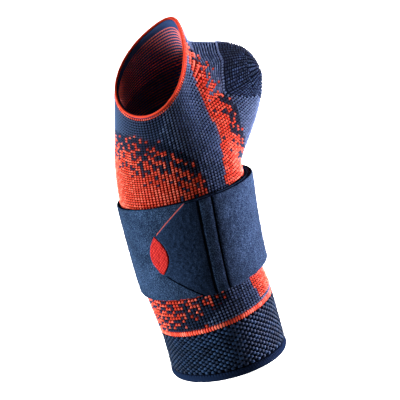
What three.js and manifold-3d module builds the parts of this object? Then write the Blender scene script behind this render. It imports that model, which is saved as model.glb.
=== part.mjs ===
// Knitted wrist support with a thumb pocket and a wide wrap strap, shaped as it sits on an arm.
// Millimetres. +Z runs up the forearm to the fingers, +X is the thumb side and -Y faces the viewer.
// The origin is the middle of the wrist, inside the strap.

import * as THREE from 'three';
import { ParametricGeometry } from 'three/addons/geometries/ParametricGeometry.js';
import { mergeVertices } from 'three/addons/utils/BufferGeometryUtils.js';
import Module from 'manifold-3d';

// Driving sizes
const KNIT_WALL = 2.2;
const FIT_GAP = 0.3;
const HAND_EDGE_RADIUS = 1.0;
const THUMB_EDGE_RADIUS = 1.2;
const HEM_HALF_WIDTH = 1.5;
const HEM_HALF_HEIGHT = 2.0;

// Facets: steps round the arm, along it, and round a rolled edge
const STEPS_AROUND = 56;
const STEPS_ALONG = 28;
const STEPS_EDGE = 6;
const CROWDING = 0.45;

// Sections of the tube from the hem to the hand opening.
// x, y, z is a section's centre. leanSide lifts its thumb side and leanFront its back, in degrees.
// leaf narrows a section towards its raised corner, between the thumb side and the back, and
// LEAF_TIP draws that corner out to a point.
const LEAF_TIP = 0.8;
const SECTIONS = [
  { x: 3.9, y: 0, z: -62, leanSide: 2.5, leanFront: 0, halfX: 30.0, halfY: 25.4, leaf: 0 },
  { x: 3.4, y: 0, z: -50, leanSide: 5, leanFront: 0, halfX: 29.8, halfY: 25.0, leaf: 0 },
  { x: 2.2, y: 0, z: -35, leanSide: 8, leanFront: 0, halfX: 29.9, halfY: 25.0, leaf: 0 },
  { x: -0.8, y: 0, z: -15, leanSide: 3.5, leanFront: 0, halfX: 29.7, halfY: 25.2, leaf: 0 },
  { x: -1.3, y: 0, z: 9, leanSide: 2.8, leanFront: 0, halfX: 30.4, halfY: 25.8, leaf: 0 },
  { x: -1.0, y: 0, z: 33, leanSide: 3, leanFront: 0, halfX: 31.2, halfY: 26.6, leaf: 0 },
  { x: -1.4, y: -0.2, z: 54.5, leanSide: 11, leanFront: 9, halfX: 29.0, halfY: 27.6, leaf: 0.05 },
  { x: -2.2, y: -0.6, z: 75, leanSide: 19.5, leanFront: 19, halfX: 24.6, halfY: 28.0, leaf: 0.12 },
  { x: -2.6, y: -1.2, z: 92.3, leanSide: 28, leanFront: 27.5, halfX: 22.0, halfY: 27.8, leaf: 0.16 },
];

// Thumb pocket: an egg-shaped patch of the tube pushed out along the pocket's own direction
const POCKET = {
  seat: new THREE.Vector3(21, 8, 73),
  turnDegrees: 36,
  riseDegrees: 0,
  reach: 38,
  sideRadius: 24,
  upRadius: 28,
  downRadius: 42,
  fullness: 2.2,
  fullnessSwing: 0.7,
  fillet: 0.15,
  neck: 0.12,
  ease: 16,
};
const EXIT = { turnDegrees: 88, riseDegrees: 4, radius: 11.5, depth: 34, seatReach: 15 };

// Strap: turns are counted from +X through the back, so 0.75 is the front
const STRAP = { low: -17.5, high: 29, frontRise: 4, thickness: 2.1, edgeShare: 0.8 };
const WRAP = { from: 0.811, to: 2.02, easeFrom: 1.06, easeTo: 1.5, steps: 62 };
const STRIP = { from: 0.779, to: 0.8095, thickness: 2.0 };
const FLAP = { from: 0.7755, shoulder: 0.745, tip: 0.661, thickness: 1.8, steps: 10 };
const TAB = { rise: 1.3, halfHeight: 9.4, halfWidth: 0.0235, thickness: 1.4, steps: 8 };

const UP = new THREE.Vector3(0, 0, 1);

/** Direction from a compass turn and a rise above the level, both in degrees. */
function direction(turnDegrees, riseDegrees) {
  const turn = THREE.MathUtils.degToRad(turnDegrees);
  const rise = THREE.MathUtils.degToRad(riseDegrees);
  const level = Math.cos(rise);
  return new THREE.Vector3(level * Math.cos(turn), level * Math.sin(turn), Math.sin(rise));
}

/** A smooth curve through three columns of the section table. */
function columns(first, second, third) {
  const points = SECTIONS.map((row) => new THREE.Vector3(row[first], row[second], row[third]));
  return new THREE.CatmullRomCurve3(points, false, 'catmullrom');
}

const centreLine = columns('x', 'y', 'z');
const halfSizes = columns('halfX', 'halfY', 'leaf');
const leans = columns('leanSide', 'leanFront', 'z');

const pocketOut = direction(POCKET.turnDegrees, POCKET.riseDegrees);
const pocketUp = UP.clone().addScaledVector(pocketOut, -pocketOut.z).normalize();
const pocketSide = new THREE.Vector3().crossVectors(pocketUp, pocketOut);

/** How far the thumb pocket pushes a point of the plain tube out, on a face inset from the outer one. */
function pocketPush(point, centre, along, inset) {
  const facing = THREE.MathUtils.smoothstep(point.clone().sub(centre).dot(pocketOut), 0, POCKET.ease);
  const clearOfEdge = THREE.MathUtils.smoothstep(1 - along, 0, POCKET.neck);
  const from = point.clone().sub(POCKET.seat);
  const rise = from.dot(pocketUp);
  const aside = from.dot(pocketSide) / (POCKET.sideRadius - inset);
  const above = rise / ((rise > 0 ? POCKET.upRadius : POCKET.downRadius) - inset);
  const away = Math.hypot(aside, above);
  if (away >= 1) {
    return 0;
  }
  const fullness = POCKET.fullness + POCKET.fullnessSwing * (away > 0 ? above / away : 0);
  const room = 1 - Math.pow(away, fullness);
  const push = (POCKET.reach * room * room) / (room + POCKET.fillet);
  return push * facing * clearOfEdge;
}

/** A face of the knit at a turn round the arm and a share of the length, the outer one with no inset. */
function knitPoint(turn, along, inset = 0) {
  const angle = turn * 2 * Math.PI;
  const centre = centreLine.getPoint(along);
  const half = halfSizes.getPoint(along);
  const lean = leans.getPoint(along);
  const side = THREE.MathUtils.degToRad(lean.x);
  const front = THREE.MathUtils.degToRad(lean.y);
  const corner = Math.cos(angle - Math.PI / 4);
  const flank = Math.sin(angle - Math.PI / 4) * (1 - half.z * corner);
  const drawn = corner * (1 + half.z * LEAF_TIP * Math.pow(Math.max(0, corner), 6));
  const across = (half.x - inset) * (drawn - flank) * Math.SQRT1_2;
  const depth = (half.y - inset) * (drawn + flank) * Math.SQRT1_2;
  const point = new THREE.Vector3(
    centre.x + across * Math.cos(side),
    centre.y + depth * Math.cos(front),
    centre.z + across * Math.sin(side) + depth * Math.sin(front),
  );
  return point.addScaledVector(pocketOut, pocketPush(point, centre, along, inset));
}

/** Unit vectors on the outer face: up along the knit, and straight out of it. */
function knitFrame(turn, along) {
  const step = 0.002;
  const low = Math.max(0, along - step);
  const high = Math.min(1, along + step);
  const up = knitPoint(turn, high).sub(knitPoint(turn, low)).normalize();
  const round = knitPoint(turn + step, along).sub(knitPoint(turn - step, along));
  const out = round.cross(up).normalize();
  return { up, out };
}

/** A point a given height above the knit's outer face. */
function overKnit(turn, along, height) {
  const point = knitPoint(turn, along);
  return point.addScaledVector(knitFrame(turn, along).out, height);
}

/** Share of the length at which the centre line is at a height. */
function alongAt(height) {
  let low = 0;
  let high = 1;
  for (let i = 0; i < 30; i += 1) {
    const middle = (low + high) / 2;
    if (centreLine.getPoint(middle).z < height) {
      low = middle;
    } else {
      high = middle;
    }
  }
  return (low + high) / 2;
}

/** Merges a surface's shared vertices and drops the facets that have no area. */
function closed(geometry) {
  geometry.deleteAttribute('normal');
  geometry.deleteAttribute('uv');
  const merged = mergeVertices(geometry, 1e-3);
  const kept = [];
  const index = merged.index.array;
  for (let i = 0; i < index.length; i += 3) {
    const [a, b, c] = [index[i], index[i + 1], index[i + 2]];
    if (a !== b && b !== c && a !== c) {
      kept.push(a, b, c);
    }
  }
  merged.setIndex(kept);
  merged.computeVertexNormals();
  return merged;
}

/** Crowds the steps round the arm together on the thumb side. */
function crowded(share) {
  const away = POCKET.turnDegrees / 360 + 0.5;
  return share + (CROWDING * Math.sin(2 * Math.PI * (share - away))) / (2 * Math.PI);
}

/** The knitted wall: up its outer face, over the hand end and down its inner face. */
function sleeveWall() {
  const loop = 2 * STEPS_ALONG + 2;
  const surface = (u, v, target) => {
    const turn = crowded(u);
    const k = Math.round(v * loop) % loop;
    if (k <= STEPS_ALONG) {
      target.copy(knitPoint(turn, k / STEPS_ALONG));
    } else {
      target.copy(knitPoint(turn, (loop - 1 - k) / STEPS_ALONG, KNIT_WALL));
    }
  };
  return closed(new ParametricGeometry(surface, STEPS_AROUND, loop));
}

/** A rolled edge with an oval section, round a closed line of frames. */
function rolledEdge(frameAt, halfOut, halfUp) {
  const surface = (u, v, target) => {
    const { centre, out, up } = frameAt(u % 1);
    const angle = 2 * Math.PI * v;
    target.copy(centre);
    target.addScaledVector(out, halfOut * Math.cos(angle));
    target.addScaledVector(up, halfUp * Math.sin(angle));
  };
  return closed(new ParametricGeometry(surface, STEPS_AROUND, STEPS_EDGE));
}

/** Frame of a rolled edge on one end of the sleeve, lifted off that end's plane by a signed rise. */
function endFrame(along, rise) {
  const lean = leans.getPoint(along);
  const side = new THREE.Vector3(1, 0, Math.tan(THREE.MathUtils.degToRad(lean.x)));
  const back = new THREE.Vector3(0, 1, Math.tan(THREE.MathUtils.degToRad(lean.y)));
  const up = side.cross(back).normalize();
  return (u) => {
    const turn = crowded(u);
    const round = knitPoint(turn + 0.002, along).sub(knitPoint(turn - 0.002, along));
    const out = round.cross(up).normalize();
    const centre = knitPoint(turn, along, KNIT_WALL / 2).addScaledVector(up, rise);
    return { centre, out, up };
  };
}

/** A closed slab: surface(s, w, k) runs along s, across w from -1 to 1, through k from 0 to 1. */
function slab(surface, steps, across) {
  const loop = 2 * across + 2;
  const shape = (u, v, target) => {
    const column = Math.round(u * (steps + 2));
    const s = THREE.MathUtils.clamp((column - 1) / steps, 0, 1);
    const capped = column === 0 || column === steps + 2;
    const corner = Math.round(v * loop) % loop;
    const upper = corner <= across;
    const w = upper ? -1 + (2 * corner) / across : 1 - (2 * (corner - across - 1)) / across;
    target.copy(surface(s, w, capped ? 0.5 : Number(upper)));
  };
  return closed(new ParametricGeometry(shape, steps + 2, loop));
}

const strapMiddle = (STRAP.low + STRAP.high) / 2;
const strapHalf = (STRAP.high - STRAP.low) / 2;
const lowerLayer = FIT_GAP;
const upperLayer = FIT_GAP + STRAP.thickness + FIT_GAP;

/** A point of a strap piece: a height over the knit, thinner at the piece's two long edges. */
function strapPoint(turn, rise, base, thickness, k, w) {
  const share = Math.abs(w) > 0.99 ? STRAP.edgeShare : 1;
  const front = Math.pow((1 + Math.cos(2 * Math.PI * (turn - 0.75))) / 2, 2);
  const lifted = strapMiddle + rise + STRAP.frontRise * front * Math.max(0, rise / strapHalf);
  return overKnit(turn, alongAt(lifted), base + k * thickness * share);
}

/** The strap, from the seam at the front round the arm to its start under the upper layer. */
function wrapSurface(s, w, k) {
  const turn = THREE.MathUtils.lerp(WRAP.from, WRAP.to, s);
  const eased = THREE.MathUtils.smoothstep(turn, WRAP.easeFrom, WRAP.easeTo);
  const base = THREE.MathUtils.lerp(upperLayer, lowerLayer, eased);
  return strapPoint(turn, w * strapHalf, base, STRAP.thickness, k, w);
}

/** The narrow strip between the two seams. */
function stripSurface(s, w, k) {
  const turn = THREE.MathUtils.lerp(STRIP.from, STRIP.to, s);
  return strapPoint(turn, w * strapHalf, upperLayer, STRIP.thickness, k, w);
}

/** Half width of the lens-shaped tab, in turns, at w across its height. */
function tabHalf(w) {
  return Math.max(0.0012, TAB.halfWidth * (1 - w * w));
}

/** The flap: full height at the seam, tapering from its shoulder to the tab. */
function flapSurface(s, w, k) {
  const seamGap = 0.0018;
  const end = FLAP.tip + tabHalf(w) + seamGap;
  const turn = THREE.MathUtils.lerp(end, FLAP.from, s);
  const shoulderShare = (FLAP.shoulder - FLAP.tip) / (FLAP.from - FLAP.tip);
  const widening = Math.min(1, s / shoulderShare);
  const half = THREE.MathUtils.lerp(TAB.halfHeight, strapHalf, widening);
  const rise = THREE.MathUtils.lerp(TAB.rise, 0, widening) + w * half;
  return strapPoint(turn, rise, upperLayer, FLAP.thickness, k, w);
}

/** The lens-shaped pull tab. */
function tabSurface(s, w, k) {
  const turn = FLAP.tip + THREE.MathUtils.lerp(tabHalf(s * 2 - 1), -tabHalf(s * 2 - 1), (w + 1) / 2);
  return strapPoint(turn, TAB.rise + (s * 2 - 1) * TAB.halfHeight, upperLayer, TAB.thickness, k, w);
}

const wasm = await Module();
wasm.setup();

/** A closed geometry as a solid that can be cut. */
function solidOf(geometry) {
  const mesh = new wasm.Mesh({
    numProp: 3,
    vertProperties: geometry.attributes.position.array,
    triVerts: new Uint32Array(geometry.index.array),
  });
  return new wasm.Manifold(mesh);
}

/** A cut solid as a geometry. */
function geometryOf(solid) {
  const mesh = solid.getMesh();
  const geometry = new THREE.BufferGeometry();
  geometry.setAttribute('position', new THREE.BufferAttribute(mesh.vertProperties, 3));
  geometry.setIndex(new THREE.BufferAttribute(mesh.triVerts, 1));
  geometry.computeVertexNormals();
  return geometry;
}

const exitOut = direction(EXIT.turnDegrees, EXIT.riseDegrees);
const exitUp = UP.clone().addScaledVector(exitOut, -exitOut.z).normalize();
const exitSide = new THREE.Vector3().crossVectors(exitUp, exitOut);
const exitSeat = POCKET.seat.clone().addScaledVector(pocketOut, EXIT.seatReach);

/** A point of the exit's cylinder. */
function exitPoint(angle, radius, reach) {
  const point = exitSeat.clone().addScaledVector(exitOut, reach);
  point.addScaledVector(exitSide, radius * Math.cos(angle));
  return point.addScaledVector(exitUp, radius * Math.sin(angle));
}

/** The sleeve with the thumb's way out cut through the far side of its pocket. */
function sleeveGeometry(wall) {
  const cutter = new THREE.CylinderGeometry(EXIT.radius, EXIT.radius, EXIT.depth, 36);
  cutter.translate(0, EXIT.depth / 2, 0);
  const turned = new THREE.Quaternion().setFromUnitVectors(new THREE.Vector3(0, 1, 0), exitOut);
  cutter.applyQuaternion(turned);
  cutter.translate(exitSeat.x, exitSeat.y, exitSeat.z);
  return geometryOf(solidOf(wall).subtract(solidOf(closed(cutter))));
}

/** Frame of the rolled edge in the thumb's way out, which follows the pocket's face. */
function exitFrame(wall) {
  const inner = EXIT.radius - FIT_GAP - THUMB_EDGE_RADIUS;
  const target = new THREE.Mesh(wall, new THREE.MeshBasicMaterial({ side: THREE.DoubleSide }));
  const inward = exitOut.clone().negate();
  return (u) => {
    const angle = 2 * Math.PI * u;
    const ray = new THREE.Raycaster(exitPoint(angle, inner, 2 * EXIT.depth), inward);
    const hit = ray.intersectObject(target)[0].point;
    const centre = hit.addScaledVector(exitOut, -KNIT_WALL / 2);
    const out = exitPoint(angle, 1, 0).sub(exitSeat);
    return { centre, out, up: exitOut };
  };
}

const navyKnit = { color: '#222b47', roughness: 0.9, metalness: 0 };
const orangeKnit = { color: '#ee5530', roughness: 0.85, metalness: 0 };
const strapCloth = { color: '#2b3452', roughness: 0.95, metalness: 0 };
const flapCloth = { color: '#1c2238', roughness: 0.9, metalness: 0 };
const tabCloth = { color: '#d8432c', roughness: 0.7, metalness: 0 };

/** A named mesh with its own material. */
function piece(name, geometry, finish) {
  const mesh = new THREE.Mesh(geometry, new THREE.MeshStandardMaterial(finish));
  mesh.name = name;
  return mesh;
}

const wall = sleeveWall();
const handFrame = endFrame(1, HAND_EDGE_RADIUS + FIT_GAP);
const hemFrame = endFrame(0, -(HEM_HALF_HEIGHT + FIT_GAP));

const group = new THREE.Group();
group.name = 'wrist_support';
group.add(
  piece('sleeve', sleeveGeometry(wall), navyKnit),
  piece('hand_edge', rolledEdge(handFrame, HAND_EDGE_RADIUS, HAND_EDGE_RADIUS), orangeKnit),
  piece('forearm_edge', rolledEdge(hemFrame, HEM_HALF_WIDTH, HEM_HALF_HEIGHT), navyKnit),
  piece('thumb_edge', rolledEdge(exitFrame(wall), THUMB_EDGE_RADIUS, THUMB_EDGE_RADIUS), navyKnit),
  piece('strap_wrap', slab(wrapSurface, WRAP.steps, 4), strapCloth),
  piece('strap_strip', slab(stripSurface, 2, 4), strapCloth),
  piece('strap_flap', slab(flapSurface, FLAP.steps, TAB.steps), flapCloth),
  piece('strap_tab', slab(tabSurface, TAB.steps, 2), tabCloth),
);

export default group;
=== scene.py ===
"""Knitted wrist support with a thumb pocket and a wide wrap strap, dressed in yarn and cloth.

Sizes are millimetres in the part's own frame: +Z runs from the forearm end to the hand end, +X is the
thumb side and -Y faces the viewer. Turns round the sleeve are counted from +X through the back, so
0.75 is the front. Meshes are made in metres.
"""

import logging
import math
from dataclasses import dataclass, field
from enum import Enum, IntEnum
from functools import cached_property
from typing import Any, Callable, Sequence

import bpy
import numpy as np
from mathutils import Matrix


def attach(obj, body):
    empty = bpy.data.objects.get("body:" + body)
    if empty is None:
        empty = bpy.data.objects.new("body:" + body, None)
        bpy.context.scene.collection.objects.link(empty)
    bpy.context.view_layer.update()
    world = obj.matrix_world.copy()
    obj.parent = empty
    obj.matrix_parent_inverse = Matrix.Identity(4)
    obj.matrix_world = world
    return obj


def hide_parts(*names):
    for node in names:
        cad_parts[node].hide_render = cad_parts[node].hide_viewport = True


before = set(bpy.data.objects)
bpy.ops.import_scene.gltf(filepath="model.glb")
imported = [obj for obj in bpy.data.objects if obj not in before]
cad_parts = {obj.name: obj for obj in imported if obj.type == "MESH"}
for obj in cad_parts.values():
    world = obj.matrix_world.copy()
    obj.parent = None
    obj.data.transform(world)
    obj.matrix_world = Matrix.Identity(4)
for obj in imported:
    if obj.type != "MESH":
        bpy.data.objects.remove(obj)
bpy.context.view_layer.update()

Array = np.ndarray
Material = bpy.types.Material
Piece = bpy.types.Object
# From shares along and across a strap to turn, rise and base height.
Place = Callable[[Array, Array], tuple[Array, Array, Array]]

log = logging.getLogger("wrist_support")

MM = 0.001
UP = np.array([0.0, 0.0, 1.0])
# The front, and the turn at the back where counting round starts again.
FRONT = 0.75
BACK = 0.3
# Thickness of the knit, and the gap that pieces keep.
KNIT_WALL = 2.2
FIT_GAP = 0.3
# How far the hand end is drawn out to a leaf's tip, and how sharply.
LEAF_TIP = 0.8
LEAF_POWER = 6
# A distance past everything, and a size below everything.
FAR = 1e3
TINY = 1e-9
# Points each way that a run of stitches takes its direction from.
WAY_REACH = 2
# Tones that a stitch's yarn is drawn from.
TONES = 3
SEED = 71
# Odd factors and shifts that mix whole numbers evenly, and the bits of a share that they give.
MIX_FACTORS = (0x9E3779B97F4A7C15, 0xBF58476D1CE4E5B9)
MIX_SHIFTS = (29, 32)
SHARE_BITS = 53
# Shares that fill a plane evenly when they are counted up across and along it.
SPREAD = (0.7548776662, 0.5698402910)

# Sections of the tube from the hem to the hand opening: centre, leans in degrees, half sizes, leaf.
SECTIONS = np.array(
    [
        # x, y, z, lean_side, lean_front, half_x, half_y, leaf
        (3.9, 0.0, -62.0, 2.5, 0.0, 30.0, 25.4, 0.0),
        (3.4, 0.0, -50.0, 5.0, 0.0, 29.8, 25.0, 0.0),
        (2.2, 0.0, -35.0, 8.0, 0.0, 29.9, 25.0, 0.0),
        (-0.8, 0.0, -15.0, 3.5, 0.0, 29.7, 25.2, 0.0),
        (-1.3, 0.0, 9.0, 2.8, 0.0, 30.4, 25.8, 0.0),
        (-1.0, 0.0, 33.0, 3.0, 0.0, 31.2, 26.6, 0.0),
        (-1.4, -0.2, 54.5, 11.0, 9.0, 29.0, 27.6, 0.05),
        (-2.2, -0.6, 75.0, 19.5, 19.0, 24.6, 28.0, 0.12),
        (-2.6, -1.2, 92.3, 28.0, 27.5, 22.0, 27.8, 0.16),
    ]
)

# Orange band on the thumb side: its sharp front edge, where it stops being solid and where it ends.
BAND_EDGES = np.array(
    [
        # height, front_turn, solid_turn, last_turn
        (24.0, 0.860, 1.040, 1.075),
        (32.8, 0.869, 1.010, 1.045),
        (43.0, 0.882, 0.962, 0.992),
        (52.0, 0.897, 0.926, 0.952),
        (59.1, 0.892, 0.914, 0.938),
        (70.1, 0.888, 0.906, 0.925),
        (75.5, 0.891, 0.904, 0.926),
        (80.3, 0.896, 0.914, 0.936),
        (84.5, 0.906, 0.936, 0.968),
        (86.9, 0.916, 0.972, 1.000),
        (92.3, 0.973, 1.010, 1.040),
    ]
)

# Orange zone on the side away from the thumb: below solid it is all orange, above last none is.
SIDE_ZONE = np.array(
    [
        # turn, solid, last
        (0.330, 20.0, 28.0),
        (0.400, 42.0, 60.0),
        (0.460, 52.0, 72.0),
        (0.530, 54.0, 78.0),
        (0.630, 45.0, 82.0),
        (0.690, 36.0, 79.0),
        (0.736, 28.0, 73.0),
        (0.775, 22.0, 64.0),
        (0.803, 16.0, 54.0),
        (0.815, 8.0, 36.0),
    ]
)

# Ridge of the thumb pocket: how far out of its egg the pocket's own knit starts, round the egg.
RIDGE = np.array(
    [
        # degrees, share
        (-180.0, 0.640),
        (-167.0, 0.600),
        (-152.0, 0.450),
        (-120.0, 0.370),
        (-90.0, 0.350),
        (-45.0, 0.370),
        (0.0, 0.450),
        (40.0, 0.590),
        (71.0, 0.740),
        (96.0, 0.690),
        (127.0, 0.640),
        (160.0, 0.620),
        (180.0, 0.640),
    ]
)

# One leg of a knitted loop from its top to its foot, in shares of its cell and millimetres of height.
LEG_SPREAD = 0.19
LEG = np.array(
    [
        # across, along, height, half_wide, half_high
        (0.06, 0.34, -0.42, 0.09, 0.24),
        (0.12, 0.14, -0.12, 0.15, 0.46),
        (0.92 * LEG_SPREAD, -0.13, -0.16, 0.15, 0.46),
        (LEG_SPREAD, -0.33, -0.50, 0.10, 0.24),
    ]
)

# A float of yarn on the inner face, in shares of its cell and millimetres of height.
FLOAT = np.array(
    [
        # across, along, height, half_wide, half_high
        (-0.46, 0.0, 0.05, 0.12, 0.14),
        (-0.20, 0.0, 0.24, 0.21, 0.22),
        (0.20, 0.0, 0.24, 0.21, 0.22),
        (0.46, 0.0, 0.05, 0.12, 0.14),
    ]
)

# Places of the mesh across a rounded edge, as shares of its radius.
ROUNDING = (0.0, 0.05, 0.18, 0.4, 0.7)

# A raised bead of yarn, in shares of its own half sizes and of the depth that it is sunk.
BEAD = np.array(
    [
        # across, along, height, half_wide, half_high
        (0.0, 1.0, -1.0, 0.4, 0.4),
        (0.0, 0.5, -1.0, 1.0, 1.0),
        (0.0, -0.5, -1.0, 1.0, 1.0),
        (0.0, -1.0, -1.0, 0.4, 0.4),
    ]
)


class Slot(Enum):
    """The part's material slots."""

    NAVY_KNIT = "navy_knit"
    ORANGE_KNIT = "orange_knit"
    STRAP_CLOTH = "strap_cloth"
    FLAP_CLOTH = "flap_cloth"
    TAB_CLOTH = "tab_cloth"


class Draw(IntEnum):
    """Keys that keep the random draws of different pieces apart."""

    STRIPE = 3
    PAIR = 5
    HAND_EDGE = 8
    POCKET = 9
    PLAIN_KNIT = 300
    RIB = 500
    CUFF = 700
    COLOUR = 5000


def smoothstep(value: Array, low: float, high: float) -> Array:
    """Eases a value from 0 at low to 1 at high.

    Args:
        value: What is eased.
        low: Where the ease starts.
        high: Where the ease ends.

    Returns:
        The eased share, from 0 to 1.
    """
    share = np.clip((value - low) / (high - low), 0.0, 1.0)
    return share * share * (3.0 - 2.0 * share)


def unit(vectors: Array) -> Array:
    """Vectors at length one."""
    return vectors / np.maximum(np.linalg.norm(vectors, axis=-1, keepdims=True), TINY)


def heading(turn_degrees: float, rise_degrees: float) -> Array:
    """Direction from a compass turn and a rise above the level.

    Args:
        turn_degrees: Turn from +X towards +Y.
        rise_degrees: Rise above the level.

    Returns:
        A unit vector.
    """
    turn, rise = math.radians(turn_degrees), math.radians(rise_degrees)
    level = math.cos(rise)
    return np.array([level * math.cos(turn), level * math.sin(turn), math.sin(rise)])


def chance(*keys: Array) -> Array:
    """A repeatable random share for whole-number keys.

    Args:
        keys: Whole numbers, such as a wale and a course.

    Returns:
        Shares from 0 to 1, the same for the same keys.
    """
    mixed = np.full(np.broadcast(*keys).shape, SEED, dtype=np.uint64)
    for key in keys:
        mixed ^= np.asarray(key).astype(np.int64).astype(np.uint64)
        for factor, shift in zip(MIX_FACTORS, MIX_SHIFTS):
            mixed *= np.uint64(factor)
            mixed ^= mixed >> np.uint64(shift)
    return (mixed >> np.uint64(64 - SHARE_BITS)).astype(np.float64) / float(1 << SHARE_BITS)


def toned(strands: int, *keys: Array) -> Array:
    """Tone numbers of strands, drawn by whole-number keys."""
    return np.broadcast_to(np.floor(TONES * chance(*keys)).astype(int), strands)


@dataclass(frozen=True)
class Grain:
    """Smooth random relief on a plane, for pile and nap."""

    seed: int
    cells: int = 512

    @cached_property
    def lattice(self) -> Array:
        """The random heights that the relief runs between."""
        return np.random.default_rng(self.seed).uniform(-1.0, 1.0, (self.cells, self.cells))

    def at(self, across: Array, along: Array, pitch: float) -> Array:
        """Relief at places on the plane.

        Args:
            across: Places across, in millimetres.
            along: Places along, in millimetres.
            pitch: Size of a bump, in millimetres.

        Returns:
            Heights from -1 to 1.
        """
        x, y = np.broadcast_arrays(across / pitch, along / pitch)
        x0, y0 = np.floor(x).astype(int), np.floor(y).astype(int)
        u, v = smoothstep(x - x0, 0.0, 1.0), smoothstep(y - y0, 0.0, 1.0)
        grid, n = self.lattice, self.cells
        low = grid[x0 % n, y0 % n] * (1 - u) + grid[(x0 + 1) % n, y0 % n] * u
        high = grid[x0 % n, (y0 + 1) % n] * (1 - u) + grid[(x0 + 1) % n, (y0 + 1) % n] * u
        return low * (1 - v) + high * v


@dataclass(frozen=True)
class Pocket:
    """Thumb pocket: an egg-shaped patch of the tube pushed out along its own direction."""

    seat: tuple[float, float, float] = (21.0, 8.0, 73.0)
    turn_degrees: float = 36.0
    reach: float = 38.0
    side_radius: float = 24.0
    up_radius: float = 28.0
    down_radius: float = 42.0
    fullness: float = 2.2
    fullness_swing: float = 0.7
    fillet: float = 0.15
    neck: float = 0.12
    ease: float = 16.0

    @property
    def out(self) -> Array:
        """The way the pocket points."""
        return heading(self.turn_degrees, 0.0)

    @property
    def side(self) -> Array:
        """The level way across the pocket."""
        return np.cross(UP, self.out)


@dataclass(frozen=True)
class Exit:
    """The thumb's way out, through the far side of the pocket."""

    turn_degrees: float = 88.0
    rise_degrees: float = 4.0
    radius: float = 11.5
    depth: float = 34.0
    seat_reach: float = 15.0

    @property
    def out(self) -> Array:
        """The way the thumb leaves."""
        return heading(self.turn_degrees, self.rise_degrees)

    def seat(self, pocket: Pocket) -> Array:
        """The point inside the pocket that the way out starts from."""
        return np.array(pocket.seat) + pocket.out * self.seat_reach

    def off_axis(self, points: Array, pocket: Pocket) -> Array:
        """Distance of points from the way out's axis, and far away for points behind its start.

        Args:
            points: Places in millimetres.
            pocket: The pocket that the way out is cut through.

        Returns:
            Distances in millimetres.
        """
        offset = points - self.seat(pocket)
        ahead = offset @ self.out
        away = np.linalg.norm(offset - ahead[..., None] * self.out, axis=-1)
        return np.where(ahead > 0.0, away, FAR)


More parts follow.
